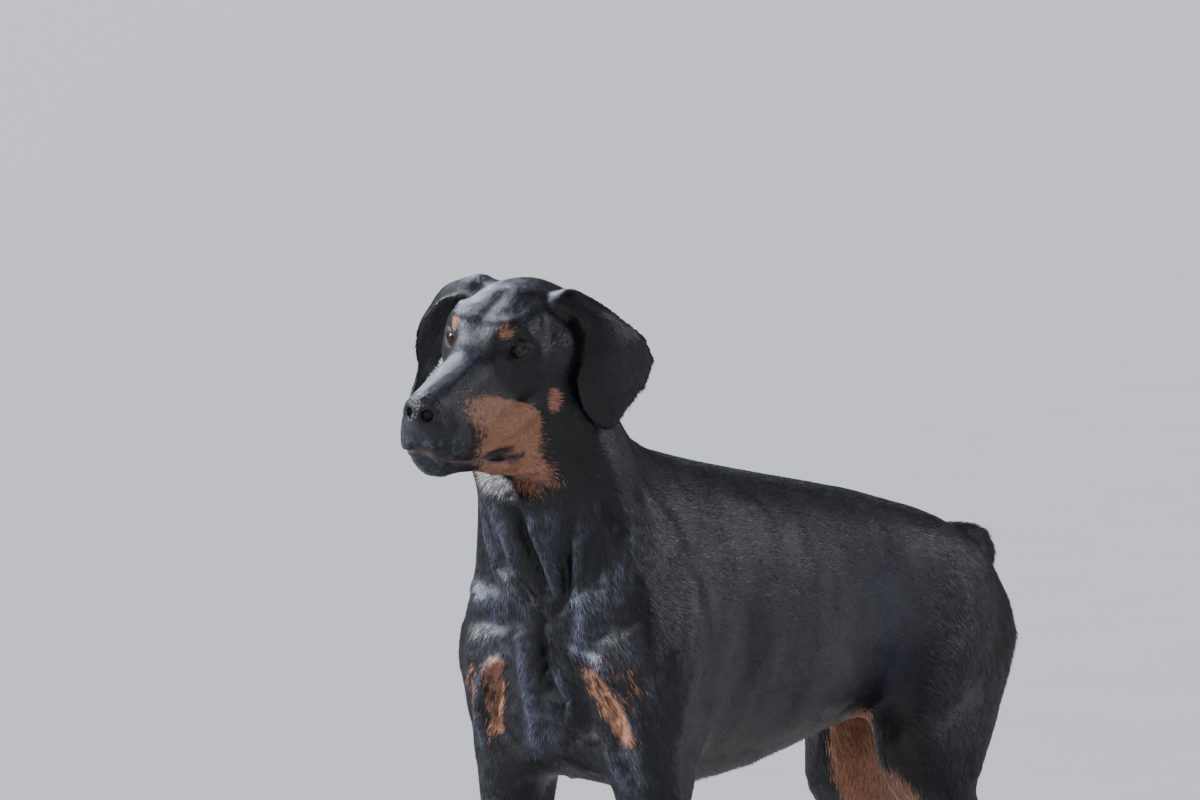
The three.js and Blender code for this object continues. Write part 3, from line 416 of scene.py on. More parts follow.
# %% Large forms of the head
HEAD_STROKES = [
    ([(74, 0, 6), (58, 0, 14), (40, 0, 20), (10, 0, 22)], 6, -1.3),
    ([(69, 15, 9), (67, 25, 10), (60, 36, 5)], 8, 1.9),
    ([(60, 8, 16), (44, 12, 22), (20, 14, 24)], 9, 0.7),
    ([(52, 20, 17), (40, 30, 16), (26, 36, 12)], 7, -0.7),
    ([(75, 17, -4), (80, 16, -11), (80, 18, -19), (76, 20, -25), (69, 23, -27)], 2.2, -1.5),
    ([(79, 15, -3), (84, 15, -11), (84, 18, -20), (79, 22, -28)], 2.4, 1.1),
    ([(46, 12, 19), (44, 26, 17)], 8, 0.6),
    ([(58, 8, 14), (52, 22, 16)], 5, -0.4),
    ([(66, 42, -26), (44, 49, -31), (16, 55, -36)], 7, 1.6),
    ([(44, 44, 2), (24, 48, -6)], 13, -2.0),
    ([(84, 23, -22), (108, 24, -30)], 9, -2.0),
    ([(92, 14, -5), (122, 12, -10), (154, 12, -14)], 4, 0.8),
    ([(88, 0, -2), (120, 0, -9), (158, 0, -13)], 5, -0.5),
]
HEAD_DABS = [
    ((28, 51, -64), (26, 16, 24), 2.2),
    ((151, 24, -50), (19, 12, 17), 2.4),
    ((164, 18, -64), (14, 12, 9), 1.6),
    ((120, 26, -46), (16, 10, 14), -1.0),
    ((166, 0, -86), (12, 14, 9), 1.2),
]
mesh = skin.data
in_head = both_sides(to_head(read(mesh.vertices, "co")))
push(mesh, head_share(read(mesh.vertices, "co")) * worked(in_head, HEAD_STROKES, HEAD_DABS))
print("head forms", len(HEAD_STROKES) + len(HEAD_DABS))

# %% [markdown]
# ## The mouth
# The mouth is closed. The upper lip hangs a little over the lower one, so the line of the mouth is a shadow
# under a soft edge, and at its back the lips part round a small dark hollow, with a rounded fold behind it.

# %% Lips
MOUTH = [
    (185, 0, -56), (182, 6, -58), (178, 13, -63), (167, 20, -71), (155, 23, -77), (143, 26, -83),
    (130, 29, -88), (118, 31, -89), (106, 33, -92), (94, 35, -96), (84, 36, -102),
]
LIP_STROKES = [
    ([(116, 32, -81), (98, 35, -83), (82, 37, -90), (76, 37, -100), (82, 35, -110)], 3.6, 2.4),
    ([(74, 38, -74), (70, 39, -88), (68, 38, -104)], 5, -1.2),
    ([(112, 30, -103), (96, 31, -107), (84, 31, -108)], 4, 1.6),
    ([(148, 29, -43), (141, 30, -54), (142, 28, -66), (150, 25, -72)], 1.8, -2.2),
    ([(139, 30, -45), (131, 31, -56), (130, 30, -70), (138, 27, -78)], 1.8, -2.4),
    ([(131, 31, -50), (121, 32, -60), (119, 31, -74), (126, 29, -82)], 2.0, -1.9),
    ([(144, 30, -45), (136, 31, -56), (136, 29, -68)], 2.6, 1.5),
    ([(135, 31, -48), (126, 32, -58), (124, 31, -72)], 2.6, 1.5),
    ([(112, 31, -62), (104, 33, -76), (106, 33, -86)], 3.0, -0.8),
    ([(124, 24, -97), (138, 20, -92)], 2.2, -0.9),
]
LIP_DABS = [((102, 34, -92), (14, 14, 5), -5.5), ((164, 18, -78), (12, 12, 5), 1.6)]


def mouth_profile(points):
    away, share, offset = near_path(points, MOUTH)
    above = offset[:, 2]
    slit = 1.5 + 1.6 * ramp(share, 0.35, 0.85)
    groove = -(2.2 + 2.2 * ramp(share, 0.3, 0.85)) * np.exp(-((above / slit) ** 2))
    upper = 1.5 * np.exp(-(((above - 5) / 3.5) ** 2))
    lower = 0.7 * np.exp(-(((above + 5) / 2.5) ** 2))
    aside = np.sqrt(np.maximum(away**2 - above**2, 0))
    return (groove + upper + lower) * np.exp(-((aside / 7) ** 2)) * (away < 16)


in_head = both_sides(to_head(read(mesh.vertices, "co")))
push(mesh, mouth_profile(in_head))
in_head = both_sides(to_head(read(mesh.vertices, "co")))
push(mesh, worked(in_head, LIP_STROKES, LIP_DABS))
print("mouth line", len(MOUTH), "points")

# %% [markdown]
# ## The nose
# The nose leather is a hairless pad. Each nostril is a comma: a round hole towards the middle and a slit
# that curls out and down beside the wing. A groove parts the pad and the upper lip in the middle.

# %% Nose
NOSE_STROKES = [
    ([(186, 0, -17), (189, 0, -28), (188, 0, -40), (186, 0, -52)], 1.5, -2.4),
    ([(186, 10, -28), (181, 16, -33), (176, 19, -36)], 1.8, -2.8),
    ([(184, 4, -19), (180, 12, -16), (175, 17, -22)], 3.0, 1.0),
    ([(171, 0, -10), (171, 12, -12), (171, 19, -24), (170, 20, -40)], 1.8, -0.9),
]
NOSE_DABS = [((184, 9.5, -25.5), (9, 4.6, 4.6), -5.5), ((181, 17, -27), (5, 4, 5), 1.0)]
in_head = both_sides(to_head(read(mesh.vertices, "co")))
push(mesh, worked(in_head, NOSE_STROKES, NOSE_DABS))

# %% [markdown]
# ## Eyelids
# An eyeball sits in the head as a ball in a purse: the lids lie on it and their rims make the almond. So
# round each eye the skin is measured from the eyeball's middle. Inside the almond it drops behind the ball,
# at the rim it rises steeply just over the ball, and farther out it runs into the face.

# %% Lids round each eye
EYE_RADIUS = 10.5
EYE_TURN = math.radians(24)
EYE_RAISE = 0.04
EYE_AT = np.array([57.5, 29.5, -12.0])
ALMOND = {"wide": 11.6, "up": 6.4, "down": 4.8, "tilt": math.radians(7)}
LID_THICK = 1.5
BEHIND_BALL = 8.2


def gaze(side):
    aim = np.array([math.cos(EYE_TURN), side * math.sin(EYE_TURN), EYE_RAISE])
    return aim / np.linalg.norm(aim)


def eye_plane(points, side):
    aim = gaze(side)
    outward = np.cross(aim, (0, 0, 1)) * -side
    outward /= np.linalg.norm(outward)
    upward = np.cross(outward, aim) * side
    upward *= np.sign(upward[2])
    ray = points - EYE_AT * (1, side, 1)
    radius = np.linalg.norm(ray, axis=1)
    facing = ray / radius[:, None]
    angle = np.arccos(np.clip(facing @ aim, -1, 1))
    arc = EYE_RADIUS * angle / np.maximum(np.sin(angle), 1e-6)
    across, rise = facing @ outward * arc, facing @ upward * arc
    turn = ALMOND["tilt"]
    turned = across * math.cos(turn) + rise * math.sin(turn), rise * math.cos(turn) - across * math.sin(turn)
    return ray, radius, turned[0], turned[1], facing @ aim


def outside_almond(across, rise):
    width = np.clip(np.abs(across) / ALMOND["wide"], 0, 1)
    peak = np.where(rise > 0, ALMOND["up"], ALMOND["down"])
    edge = peak * (1 - width**2.2) ** 0.85
    past_corner = np.maximum(np.abs(across) - ALMOND["wide"], 0)
    return np.sqrt(np.maximum(np.abs(rise) - edge, 0) ** 2 + past_corner**2) - np.maximum(
        np.minimum(edge - np.abs(rise), ALMOND["wide"] - np.abs(across)), 0
    )


def lids(points, side):
    ray, radius, across, rise, facing = eye_plane(points, side)
    out = outside_almond(across, rise)
    top = rise > 0
    rim = EYE_RADIUS + LID_THICK + 0.5 * top
    fold = np.where(top, 1.6, 0.9) * np.exp(-(((out - 2.2) / 1.3) ** 2))
    crease = np.where(top, -1.5, -0.7) * np.exp(-(((out - 5.2) / 1.1) ** 2))
    lid = rim + fold * 0.5 + 0.16 * np.maximum(out, 0)
    wanted = BEHIND_BALL + (lid - BEHIND_BALL) * ramp(out, -0.45, 0.35)
    keep = ramp(out, 1.5, 10)
    new_radius = wanted * (1 - keep) + radius * keep + crease * ramp(out, 2, 4)
    share = ramp(facing, 0.0, 0.35) * (1 - ramp(radius, 20, 30))
    new_radius = radius + (new_radius - radius) * share
    return points + ray / radius[:, None] * (new_radius - radius)[:, None]


in_head = to_head(read(mesh.vertices, "co"))
for side in (1, -1):
    mine = side * in_head[:, 1] > 0
    in_head[mine] = lids(in_head[mine], side)
move_points(mesh, to_world(in_head))
print("eye opening", 2 * ALMOND["wide"], "by", ALMOND["up"] + ALMOND["down"], "mm on the ball")

# %% [markdown]
# ## Muscles of the body
# A short coat hides nothing. On the front of the neck two strap muscles run down to the breastbone with a
# deep groove between them, the breast is two round muscles that meet in a crease, and the edge of the
# shoulder blade and its muscles stand out down the side.

# %% Neck and breast
NECK_STROKES = [
    ([(188, -33, 614), (187, -19, 594), (182, -9, 573), (175, -11, 554), (168, -14, 536)], 7, 3.6),
    ([(187, 17, 600), (178, 18, 574), (170, 22, 557), (160, 26, 532), (158, 28, 520)], 7, 4.0),
    ([(190, 0, 606), (188, 4, 592), (180, 7, 569), (169, 13, 543), (159, 17, 521)], 4.5, -4.6),
    ([(178, 34, 600), (171, 35, 580), (166, 32, 562)], 5, 1.8),
    ([(167, 40, 584), (162, 37, 552), (157, 35, 525), (155, 26, 507)], 5.5, -3.8),
    ([(168, -50, 590), (165, -44, 571), (161, -34, 540), (164, -18, 523), (161, -2, 506)], 5, 3.4),
    ([(174, -34, 576), (168, -26, 550), (166, -8, 524), (160, 8, 508)], 5, -3.6),
    ([(160, 55, 592), (160, 47, 561), (154, 38, 517)], 6, 2.4),
    ([(152, 62, 566), (151, 60, 552), (147, 62, 530)], 8, -2.6),
    ([(123, 78, 577), (134, 80, 545), (139, 79, 518)], 7, 2.4),
    ([(148, 70, 640), (134, 80, 604)], 8, 1.6),
    ([(130, 78, 640), (112, 88, 596), (106, 92, 560)], 6, -1.8),
]
BREAST_STROKES = [
    ([(153, 42, 524), (148, 53, 505), (146, 46, 482)], 10, 5.0),
    ([(138, -76, 520), (146, -61, 511), (157, -30, 514)], 8, 4.2),
    ([(142, -70, 492), (152, -40, 488), (158, -22, 494)], 6, -2.4),
    (
        [(155, -17, 484), (149, -17, 461), (142, -16, 435), (137, -13, 414), (130, -16, 388), (120, -21, 373)],
        9, 3.8,
    ),
    ([(157, 8, 496), (153, 5, 471), (147, 1, 453), (143, 7, 438), (138, 16, 418), (129, 24, 392)], 4.5, -6.0),
    ([(148, 14, 458), (144, 20, 437), (135, 26, 402)], 6, 2.0),
    ([(142, 38, 429), (135, 38, 408), (129, 42, 390)], 11, -4.2),
    ([(145, 56, 457), (142, 62, 438), (136, 71, 419), (132, 74, 403), (129, 72, 387)], 7, -3.6),
    ([(148, 38, 470), (147, 61, 461), (144, 73, 447), (138, 82, 432), (133, 86, 418), (127, 88, 398)], 5, 4.2),
    ([(148, -36, 464), (144, -60, 450), (140, -72, 431), (133, -78, 409), (126, -79, 386)], 5, 4.0),
    ([(143, -52, 449), (139, -58, 428), (134, -65, 410), (131, -58, 394), (126, -48, 382)], 8, -4.0),
    ([(128, 54, 388), (122, 67, 362), (121, 74, 348)], 5, 2.6),
    ([(126, 86, 384), (120, 88, 365), (114, 92, 350)], 6, 2.4),
    ([(134, 92, 486), (130, 98, 460), (122, 100, 430)], 9, 2.0),
]


MUSCLES_STAND_OUT = 1.9


def breast_share(world):
    body = to_body(world)
    return (1 - head_share(world)) * ramp(body[:, 0], 60, 100)


in_body = to_body(read(mesh.vertices, "co"))
deep = MUSCLES_STAND_OUT * breast_share(read(mesh.vertices, "co"))
push(mesh, deep * worked(in_body, NECK_STROKES + BREAST_STROKES, []))
print("neck and breast forms", len(NECK_STROKES) + len(BREAST_STROKES))

# %% [markdown]
# The shoulder, ribs, flank and thigh are alike on both sides, so their strokes are given once and used
# twice.

# %% Shoulder, ribs, flank and thigh
BODY_STROKES = [
    ([(71, 87, 551), (50, 94, 521), (65, 106, 473), (84, 106, 423), (79, 99, 376)], 9, 3.2),
    ([(105, 89, 539), (101, 102, 505), (110, 110, 455), (110, 102, 405)], 8, -2.8),
    ([(44, 78, 566), (26, 90, 520), (34, 102, 470), (44, 100, 420)], 8, -2.2),
    ([(12, 90, 500), (10, 98, 450), (22, 94, 400)], 10, 2.0),
    ([(-10, 92, 480), (-12, 94, 430), (-4, 82, 384)], 8, -1.8),
    ([(90, 60, 640), (66, 78, 590), (50, 88, 556)], 8, 2.2),
    ([(66, 56, 640), (46, 76, 590), (34, 88, 550)], 6, -1.8),
    ([(132, 84, 440), (124, 92, 410), (112, 90, 370)], 8, 2.2),
    ([(25, 36, 629), (20, 72, 582), (24, 88, 545)], 8, 1.9),
    ([(8, 40, 626), (6, 70, 584), (14, 86, 546)], 6, -1.5),
    ([(-5, 48, 616), (-6, 71, 584), (2, 86, 544)], 7, 1.5),
    ([(-85, 49, 604), (-81, 76, 573), (-74, 89, 538)], 9, 1.8),
    ([(-148, 41, 600), (-133, 73, 572), (-122, 88, 544)], 9, 1.8),
    ([(-116, 45, 602), (-107, 75, 572), (-98, 89, 541)], 8, -1.4),
    ([(-284, 50, 570), (-285, 65, 553), (-274, 78, 525)], 10, 1.8),
    ([(-53, 93, 507), (-66, 95, 480), (-42, 89, 426), (-33, 70, 376)], 9, 2.0),
    ([(-74, 92, 439), (-129, 94, 446), (-180, 92, 457), (-213, 92, 487)], 11, -3.0),
    ([(-90, 92, 410), (-150, 88, 414), (-200, 84, 430)], 12, 1.8),
    ([(-154, 77, 395), (-205, 62, 385), (-243, 52, 382), (-251, 66, 405)], 6, -3.0),
    ([(-190, 84, 424), (-225, 80, 408), (-250, 70, 400)], 9, 2.8),
    ([(-230, 90, 470), (-242, 83, 445), (-280, 78, 430), (-316, 72, 421)], 12, -3.0),
    ([(-300, 84, 520), (-310, 90, 480), (-304, 92, 440)], 16, 2.6),
    ([(-319, 92, 362), (-366, 100, 386), (-419, 93, 409)], 9, -3.0),
    ([(-340, 94, 420), (-380, 100, 440), (-420, 94, 452)], 14, 2.2),
    ([(-400, 78, 540), (-424, 86, 490), (-430, 90, 440)], 10, -2.4),
    ([(-450, 66, 530), (-474, 78, 480), (-478, 82, 430)], 14, 2.2),
    ([(-392, 50, 560), (-404, 60, 545)], 12, 1.6),
]
RIBS = [
    ([(x, 74, 560), (x - 14, 91, 520), (x - 16, 96, 470), (x - 6, 88, 420)], 7, 1.2)
    for x in (0, -30, -60, -90, -120, -150)
]
in_body = both_sides(to_body(read(mesh.vertices, "co")))
below_jaw = 1 - head_share(read(mesh.vertices, "co"))
push(mesh, below_jaw * worked(in_body, BODY_STROKES + RIBS, []))
print("body forms", len(BODY_STROKES) + len(RIBS))

# %% [markdown]
# ## Teats
# A female that has had pups keeps her teats, in two rows. Five pairs are built up where the belly faces
# down.

# %% Teats
TEATS = [(60, 30, 352), (-20, 36, 352), (-108, 40, 354), (-170, 42, 372), (-226, 36, 384)]
in_body = both_sides(to_body(read(mesh.vertices, "co")))
for x, y, z in TEATS:
    column = np.hypot(in_body[:, 0] - x, in_body[:, 1] - y)
    low = (column < 14) & (in_body[:, 2] < z + 60) & (in_body[:, 2] > z - 40)
    facing_down = read(mesh.vertices, "normal")[:, 2] < -0.3
    push(mesh, np.where(low & facing_down, 3.2 * np.exp(-((column / 4.5) ** 2)), 0))
print("teats", 2 * len(TEATS))

# %% [markdown]
# ## The coat's colours
# Black with rust marks, each in its fixed place: a spot over each eye and on each cheek, the sides of the
# muzzle, the throat, two patches on the breast, the legs below, the inside of the thighs and under the
# tail. The borders are broken by stray hairs, and the rust is darkened along the deep lip creases as painted
# shade. Light is painted into the black as well: a brown-grey haze on the sides that is partly dust and grey
# hairs and partly painted sheen, a painted navy shade on the flank, and painted silver highlights on the
# nose bridge, the forehead, the whisker pads and the raised muscles of the breast. Skin and coat ask the same
# functions, so they always agree.

# %% Where each colour lies
def patchiness(points, size, seed):
    shift = Vector((seed * 7.1, seed * 3.3, seed * 5.7))
    return np.array([noise.noise(Vector(p) / size + shift) for p in points])


def blot(points, place, size, edge=0.35):
    return 1 - ramp(np.sqrt((((points - place) / size) ** 2).sum(1)), 1 - edge, 1 + edge)


def back_edge(head):
    return np.interp(-head[:, 2], [53, 72, 87, 100, 112, 130], [17, 6, 6, 9, 7, 2])


def upper_edge(head):
    along = [40, 53, 66, 78, 97, 121, 146, 158]
    return np.interp(head[:, 0], along, [-96, -76, -60, -51, -40, -31, -25, -22])


def rust_share(world):
    body, head = to_body(world), both_sides(to_head(world))
    mirrored_body = both_sides(body)
    wobble = 2.2 * patchiness(body, 14, 1) + 1.3 * patchiness(body, 5, 2)
    on_head = head_share(world)
    soft = 6 + 8 * ramp(head[:, 0], 95, 135)
    side = ramp((upper_edge(head) - head[:, 2] + wobble) / soft, -1, 1)
    side *= 1 - ramp(head[:, 0] + 2.5 * wobble - 0.35 * (head[:, 2] + 60), 118, 156)
    side *= ramp(head[:, 1], 10, 19) * ramp(head[:, 0] - wobble - back_edge(head), 42, 57)
    # Along the deep lip creases the rust is darkened towards black: painted shade in the folds.
    painted_crease_shade = [(path, 2.6, -0.75) for path, _, height in LIP_STROKES if height < -1.5]
    speckle = 1 + (0.9 * patchiness(head, 3.5, 8) - 0.12) * ramp(head[:, 0], 100, 130)
    side = np.clip(side * speckle, 0, 1) * (1 + np.clip(worked(head, painted_crease_shade, []), -0.8, 0))
    under = ramp(-head[:, 2] + wobble, 98, 106) * ramp(head[:, 0] - wobble, 66, 76)
    under *= 1 - ramp(head[:, 0] + 1.5 * wobble, 86, 108)
    spots = blot(head + wobble[:, None] * 0.8, (67, 22.5, 6.5), (8, 7, 6.5), 0.5)
    cheek = blot(head + wobble[:, None] * 0.6, (43, 52, -62), (7, 16, 11), 0.5)
    face = np.maximum.reduce([side, under, spots, cheek]) * on_head
    throat = 0.75 * blot(body + wobble[:, None], (190, 22, 622), (16, 17, 13), 0.5) * (1 - on_head)
    line = np.interp(body[:, 2], [388, 400, 420, 440, 462], [82, 78, 69, 58, 48])
    wide = np.interp(body[:, 2], [388, 420, 462], [7, 12, 8])
    left = 1 - ramp(np.abs(body[:, 1] - line) + 1.5 * wobble - wide, -5, 7)
    left = np.maximum(left, 0.4 * blot(body + wobble[:, None], (138, 86, 448), (30, 14, 34), 0.7))
    right_line = np.interp(body[:, 2], [388, 420, 455], [-66, -58, -50])
    right = 1 - ramp(np.abs(body[:, 1] - right_line) + 1.5 * wobble - 0.8 * wide, -5, 6)
    right = np.maximum(right, 0.36 * blot(body + wobble[:, None], (138, -76, 440), (30, 12, 30), 0.7))
    ends = ramp(body[:, 2] + 2 * wobble, 380, 400) * (1 - ramp(body[:, 2] + 2 * wobble, 450, 468))
    streaks = 0.82 + 0.9 * patchiness(body * (1, 1, 0.3), 4, 12)
    breast = np.where(body[:, 1] > 0, left, right) * ends * (body[:, 0] > 100) * streaks
    inner = ramp(88 - mirrored_body[:, 1] + 0.4 * wobble, 12, 30)
    fore = (body[:, 0] > -40) * (1 - ramp(body[:, 2] + 4 * wobble - 70 * inner, 165, 245))
    behind = ramp(-body[:, 0], 250, 300)
    hock = behind * (1 - ramp(body[:, 2] + 4 * wobble, 150, 215))
    inside = behind * ramp(54 - mirrored_body[:, 1] + wobble, 0, 12) * (1 - ramp(body[:, 2], 420, 450))
    stifle = behind * blot(mirrored_body, (-330, 62, 300), (26, 20, 70)) * 0.8
    vent = blot(mirrored_body, (-545, 0, 476), (30, 20, 26))
    return np.clip(np.maximum.reduce([face, throat, breast, fore, hock, inside, stifle, vent]), 0, 1)


# Lighter brown-grey sides: partly dust and grey hairs, partly painted sheen; the navy band is painted shade.
def haze_and_sheen_share(world):
    body = both_sides(to_body(world))
    side = ramp(body[:, 1], 20, 70) * ramp(body[:, 2], 330, 400)
    trunk = ramp(-body[:, 0], -100, -40)
    # Painted navy shade in a band across the flank, taken off the haze.
    painted_navy_shade = np.exp(-((body[:, 0] + 285 - 0.4 * (body[:, 2] - 460)) / 58) ** 2) * ramp(body[:, 2], 360, 420)
    painted_navy_shade *= (1 - ramp(body[:, 2], 500, 570)) * ramp(body[:, 1], 30, 60)
    streak = 0.62 + 1.1 * patchiness(body * (1, 0.35, 0.35), 26, 4)
    return np.clip(side * trunk * streak - painted_navy_shade, 0, 1), np.clip(painted_navy_shade, 0, 1)


# Painted highlights: silver spots where the breast and neck muscles catch the light.
GLOSS_DABS = [
    ((150, 58, 508), (30, 17, 24), 0.8),
    ((148, -53, 502), (30, 19, 28), 0.8),
    ((135, -3, 402), (30, 8, 34), 0.6),
    ((128, 82, 391), (30, 7, 20), 0.6),
    ((177, -24, 574), (20, 14, 26), 0.7),
    ((176, 31, 587), (20, 9, 24), 0.6),
]


# Painted silver highlights on the nose bridge, the forehead, the whisker pads and the raised breast muscles.
def painted_highlight_share(world):
    body, head = both_sides(to_body(world)), both_sides(to_head(world))
    on_head = head_share(world)
    bridge = ramp(head[:, 0], 60, 76) * (1 - ramp(head[:, 1], 9, 22)) * ramp(head[:, 2], -46, -20)
    crown = (1 - ramp(head[:, 0], 56, 70)) * ramp(head[:, 0], -20, 10) * ramp(head[:, 2], 4, 18)
    crown *= 0.25 + 0.9 * patchiness(head, 14, 5)
    ridges = worked(to_body(world), NECK_STROKES + BREAST_STROKES, [])
    gloss = worked(to_body(world), [], GLOSS_DABS) * (1 + 0.8 * patchiness(body * (1, 1, 0.4), 6, 14))
    raised = ramp(ridges + patchiness(body, 9, 7), -0.4, 2.4)
    front = breast_share(world) * np.maximum(raised, gloss)
    front *= 1 - 0.75 * ramp(body[:, 2], 585, 625)
    pads = ramp(head[:, 0], 138, 158) * ramp(-head[:, 2], 38, 52) * (0.35 + 1.3 * patchiness(head, 4, 13))
    face = np.clip(np.maximum.reduce([0.5 * bridge, crown, pads]), 0, 1)
    spread = face * on_head + front * (1 - on_head)
    return np.clip(spread * (0.7 + 0.5 * patchiness(body, 9, 6)), 0, 1)


def bare_share(world):
    head = both_sides(to_head(world))
    leather = ramp(head[:, 0], 166, 170) * ramp(head[:, 2], -50, -44) * (1 - ramp(head[:, 1], 20, 24))
    top = 1 - ramp(head[:, 2] - 0.35 * (170 - head[:, 0]), -12, -8)
    leather *= np.maximum(top, ramp(head[:, 0], 171, 174))
    away, share, offset = near_path(head, MOUTH)
    front = 1 - ramp(share, 0.1, 0.25)
    thick = 0.9 + 1.6 * front + 1.8 * ramp(share, 0.6, 0.85)
    below = offset[:, 2] + 1.0 + 2.0 * front + 1.4 * ramp(share, 0.6, 0.8)
    lips = (1 - ramp(np.abs(below) - thick, -0.6, 1.2)) * (away < 14)
    hollow = blot(head, (101, 34, -93), (16, 16, 6), 0.5)
    _, _, across, rise, facing = eye_plane(head, 1)
    rims = (1 - ramp(outside_almond(across, rise), 1.4, 2.8)) * (facing > 0.2)
    rims *= np.linalg.norm(head - EYE_AT, axis=1) < 20
    body = both_sides(to_body(world))
    pads = 1 - ramp(body[:, 2], 4, 9)
    dark = np.clip(np.maximum.reduce([leather, rims, hollow]), 0, 1)
    return dark, np.clip(lips, 0, 1), pads


def paint(mesh, name, values):
    layer = mesh.attributes.new(name, "FLOAT", "POINT")
    layer.data.foreach_set("value", np.ascontiguousarray(values, dtype=np.float32))


# Paints the rust and the painted light: haze with painted sheen, navy painted shade, silver painted highlight.
def paint_markings_and_light(mesh, roots):
    haze_and_sheen, painted_navy_shade = haze_and_sheen_share(roots)
    paint(mesh, "rust", rust_share(roots))
    paint(mesh, "haze_and_sheen", haze_and_sheen)
    paint(mesh, "painted_navy_shade", painted_navy_shade)
    paint(mesh, "painted_highlight", painted_highlight_share(roots))


world = read(mesh.vertices, "co")
paint_markings_and_light(mesh, world)
leather, lips, pads = bare_share(world)
for name, values in (("leather", leather), ("lips", lips), ("pads", pads)):
    paint(mesh, name, values)
print("rust on", round(100 * float(rust_share(world).mean())), "percent of the skin's points")

# %% [markdown]
# ## Materials from nodes
# A material here is a recipe of nodes. A small helper adds a node, sets its sockets and joins its inputs,
# so that each finish below reads like a list of what the surface is made of.

# %% Helpers for materials
class Finish:
    def __init__(self, name):
        self.material = bpy.data.materials.new(name)
        self.material.use_nodes = True
        self.tree = self.material.node_tree
        self.shader = self.tree.nodes["Principled BSDF"]
        self.place = self.add("ShaderNodeTexCoord").outputs["Object"]

    def add(self, kind, inputs=None, **settings):
        node = self.tree.nodes.new(kind)
        for key, value in settings.items():
            setattr(node, key, value)
        for key, value in (inputs or {}).items():
            self.feed(node.inputs[key], value)
        return node

    def feed(self, socket, value):
        if isinstance(value, bpy.types.NodeSocket):
            self.tree.links.new(value, socket)
        else:
            socket.default_value = value

    def attribute(self, name):
        return self.add("ShaderNodeAttribute", attribute_name=name).outputs["Fac"]

    def noise(self, scale, detail=3.0, rough=0.6, stretch=(1, 1, 1)):
        mapped = self.add("ShaderNodeMapping", {"Vector": self.place, "Scale": stretch}).outputs[0]
        inputs = {"Vector": mapped, "Scale": scale, "Detail": detail, "Roughness": rough}
        return self.add("ShaderNodeTexNoise", inputs).outputs["Fac"]

    def cells(self, scale, stretch=(1, 1, 1)):
        mapped = self.add("ShaderNodeMapping", {"Vector": self.place, "Scale": stretch}).outputs[0]
        return self.add("ShaderNodeTexVoronoi", {"Vector": mapped, "Scale": scale}).outputs["Distance"]

    def span(self, value, low, high, to_low=0.0, to_high=1.0):
        inputs = {"Value": value, "From Min": low, "From Max": high, "To Min": to_low, "To Max": to_high}
        return self.add("ShaderNodeMapRange", inputs).outputs["Result"]

    def times(self, a, b):
        return self.add("ShaderNodeMath", {0: a, 1: b}, operation="MULTIPLY").outputs[0]

    def plus(self, a, b):
        return self.add("ShaderNodeMath", {0: a, 1: b}, operation="ADD").outputs[0]

    def mixed(self, share, first, second):
        node = self.add("ShaderNodeMix", data_type="RGBA")
        self.feed(node.inputs[0], share)
        self.feed(node.inputs[6], first)
        self.feed(node.inputs[7], second)
        return node.outputs[2]

    def bump(self, height, depth, strength=1.0):
        node = self.add("ShaderNodeBump", {"Height": height, "Distance": depth, "Strength": strength})
        return node.outputs["Normal"]

    def finish(self, **sockets):
        for key, value in sockets.items():
            self.feed(self.shader.inputs[key.replace("_", " ")], value)
        return self.material


# %% [markdown]
# ## The skin's finish
# Black hair is not quite black: most colours below are thin tints that the lamps turn into gloss, but the
# brown haze is partly a painted sheen, the navy is painted shade and the silver is a painted highlight. The
# skin wears the coat's colours with a fine grain of bumps for the hair between the tufts. The nose is
# pebbled leather, the lips are dark with pink in them, and the soles are bare.

# %% Colours
BLACK = (0.0034, 0.0032, 0.0048, 1)
# Brown-grey haze of the sides: partly dust and grey hairs, partly painted sheen.
BROWN_HAZE_AND_SHEEN = (0.028, 0.018, 0.021, 1)
# Painted navy shade of the flank.
PAINTED_NAVY_SHADE = (0.003, 0.0045, 0.014, 1)
# Painted silver highlight.
PAINTED_SILVER_HIGHLIGHT = (0.120, 0.132, 0.200, 1)
RUST = (0.18, 0.066, 0.034, 1)
PALE_RUST = (0.37, 0.185, 0.11, 1)
LEATHER = (0.011, 0.011, 0.015, 1)
LIP = (0.110, 0.052, 0.050, 1)


# The coat's black and rust, with painted light laid over the black: sheen, navy shade and silver highlight.
def coat_colour_and_painted_light(finish, tone):
    dark = finish.mixed(finish.attribute("haze_and_sheen"), BLACK, BROWN_HAZE_AND_SHEEN)
    dark = finish.mixed(finish.attribute("painted_navy_shade"), dark, PAINTED_NAVY_SHADE)
    # Silver painted highlight, stronger where the tone is paler.
    lit = finish.times(finish.attribute("painted_highlight"), finish.span(tone, 0.35, 1, 0.15, 1))
    dark = finish.mixed(lit, dark, PAINTED_SILVER_HIGHLIGHT)
    warm = finish.mixed(tone, RUST, PALE_RUST)
    rust = finish.span(finish.attribute("rust"), 0.3, 0.7)
    return finish.mixed(rust, dark, warm)


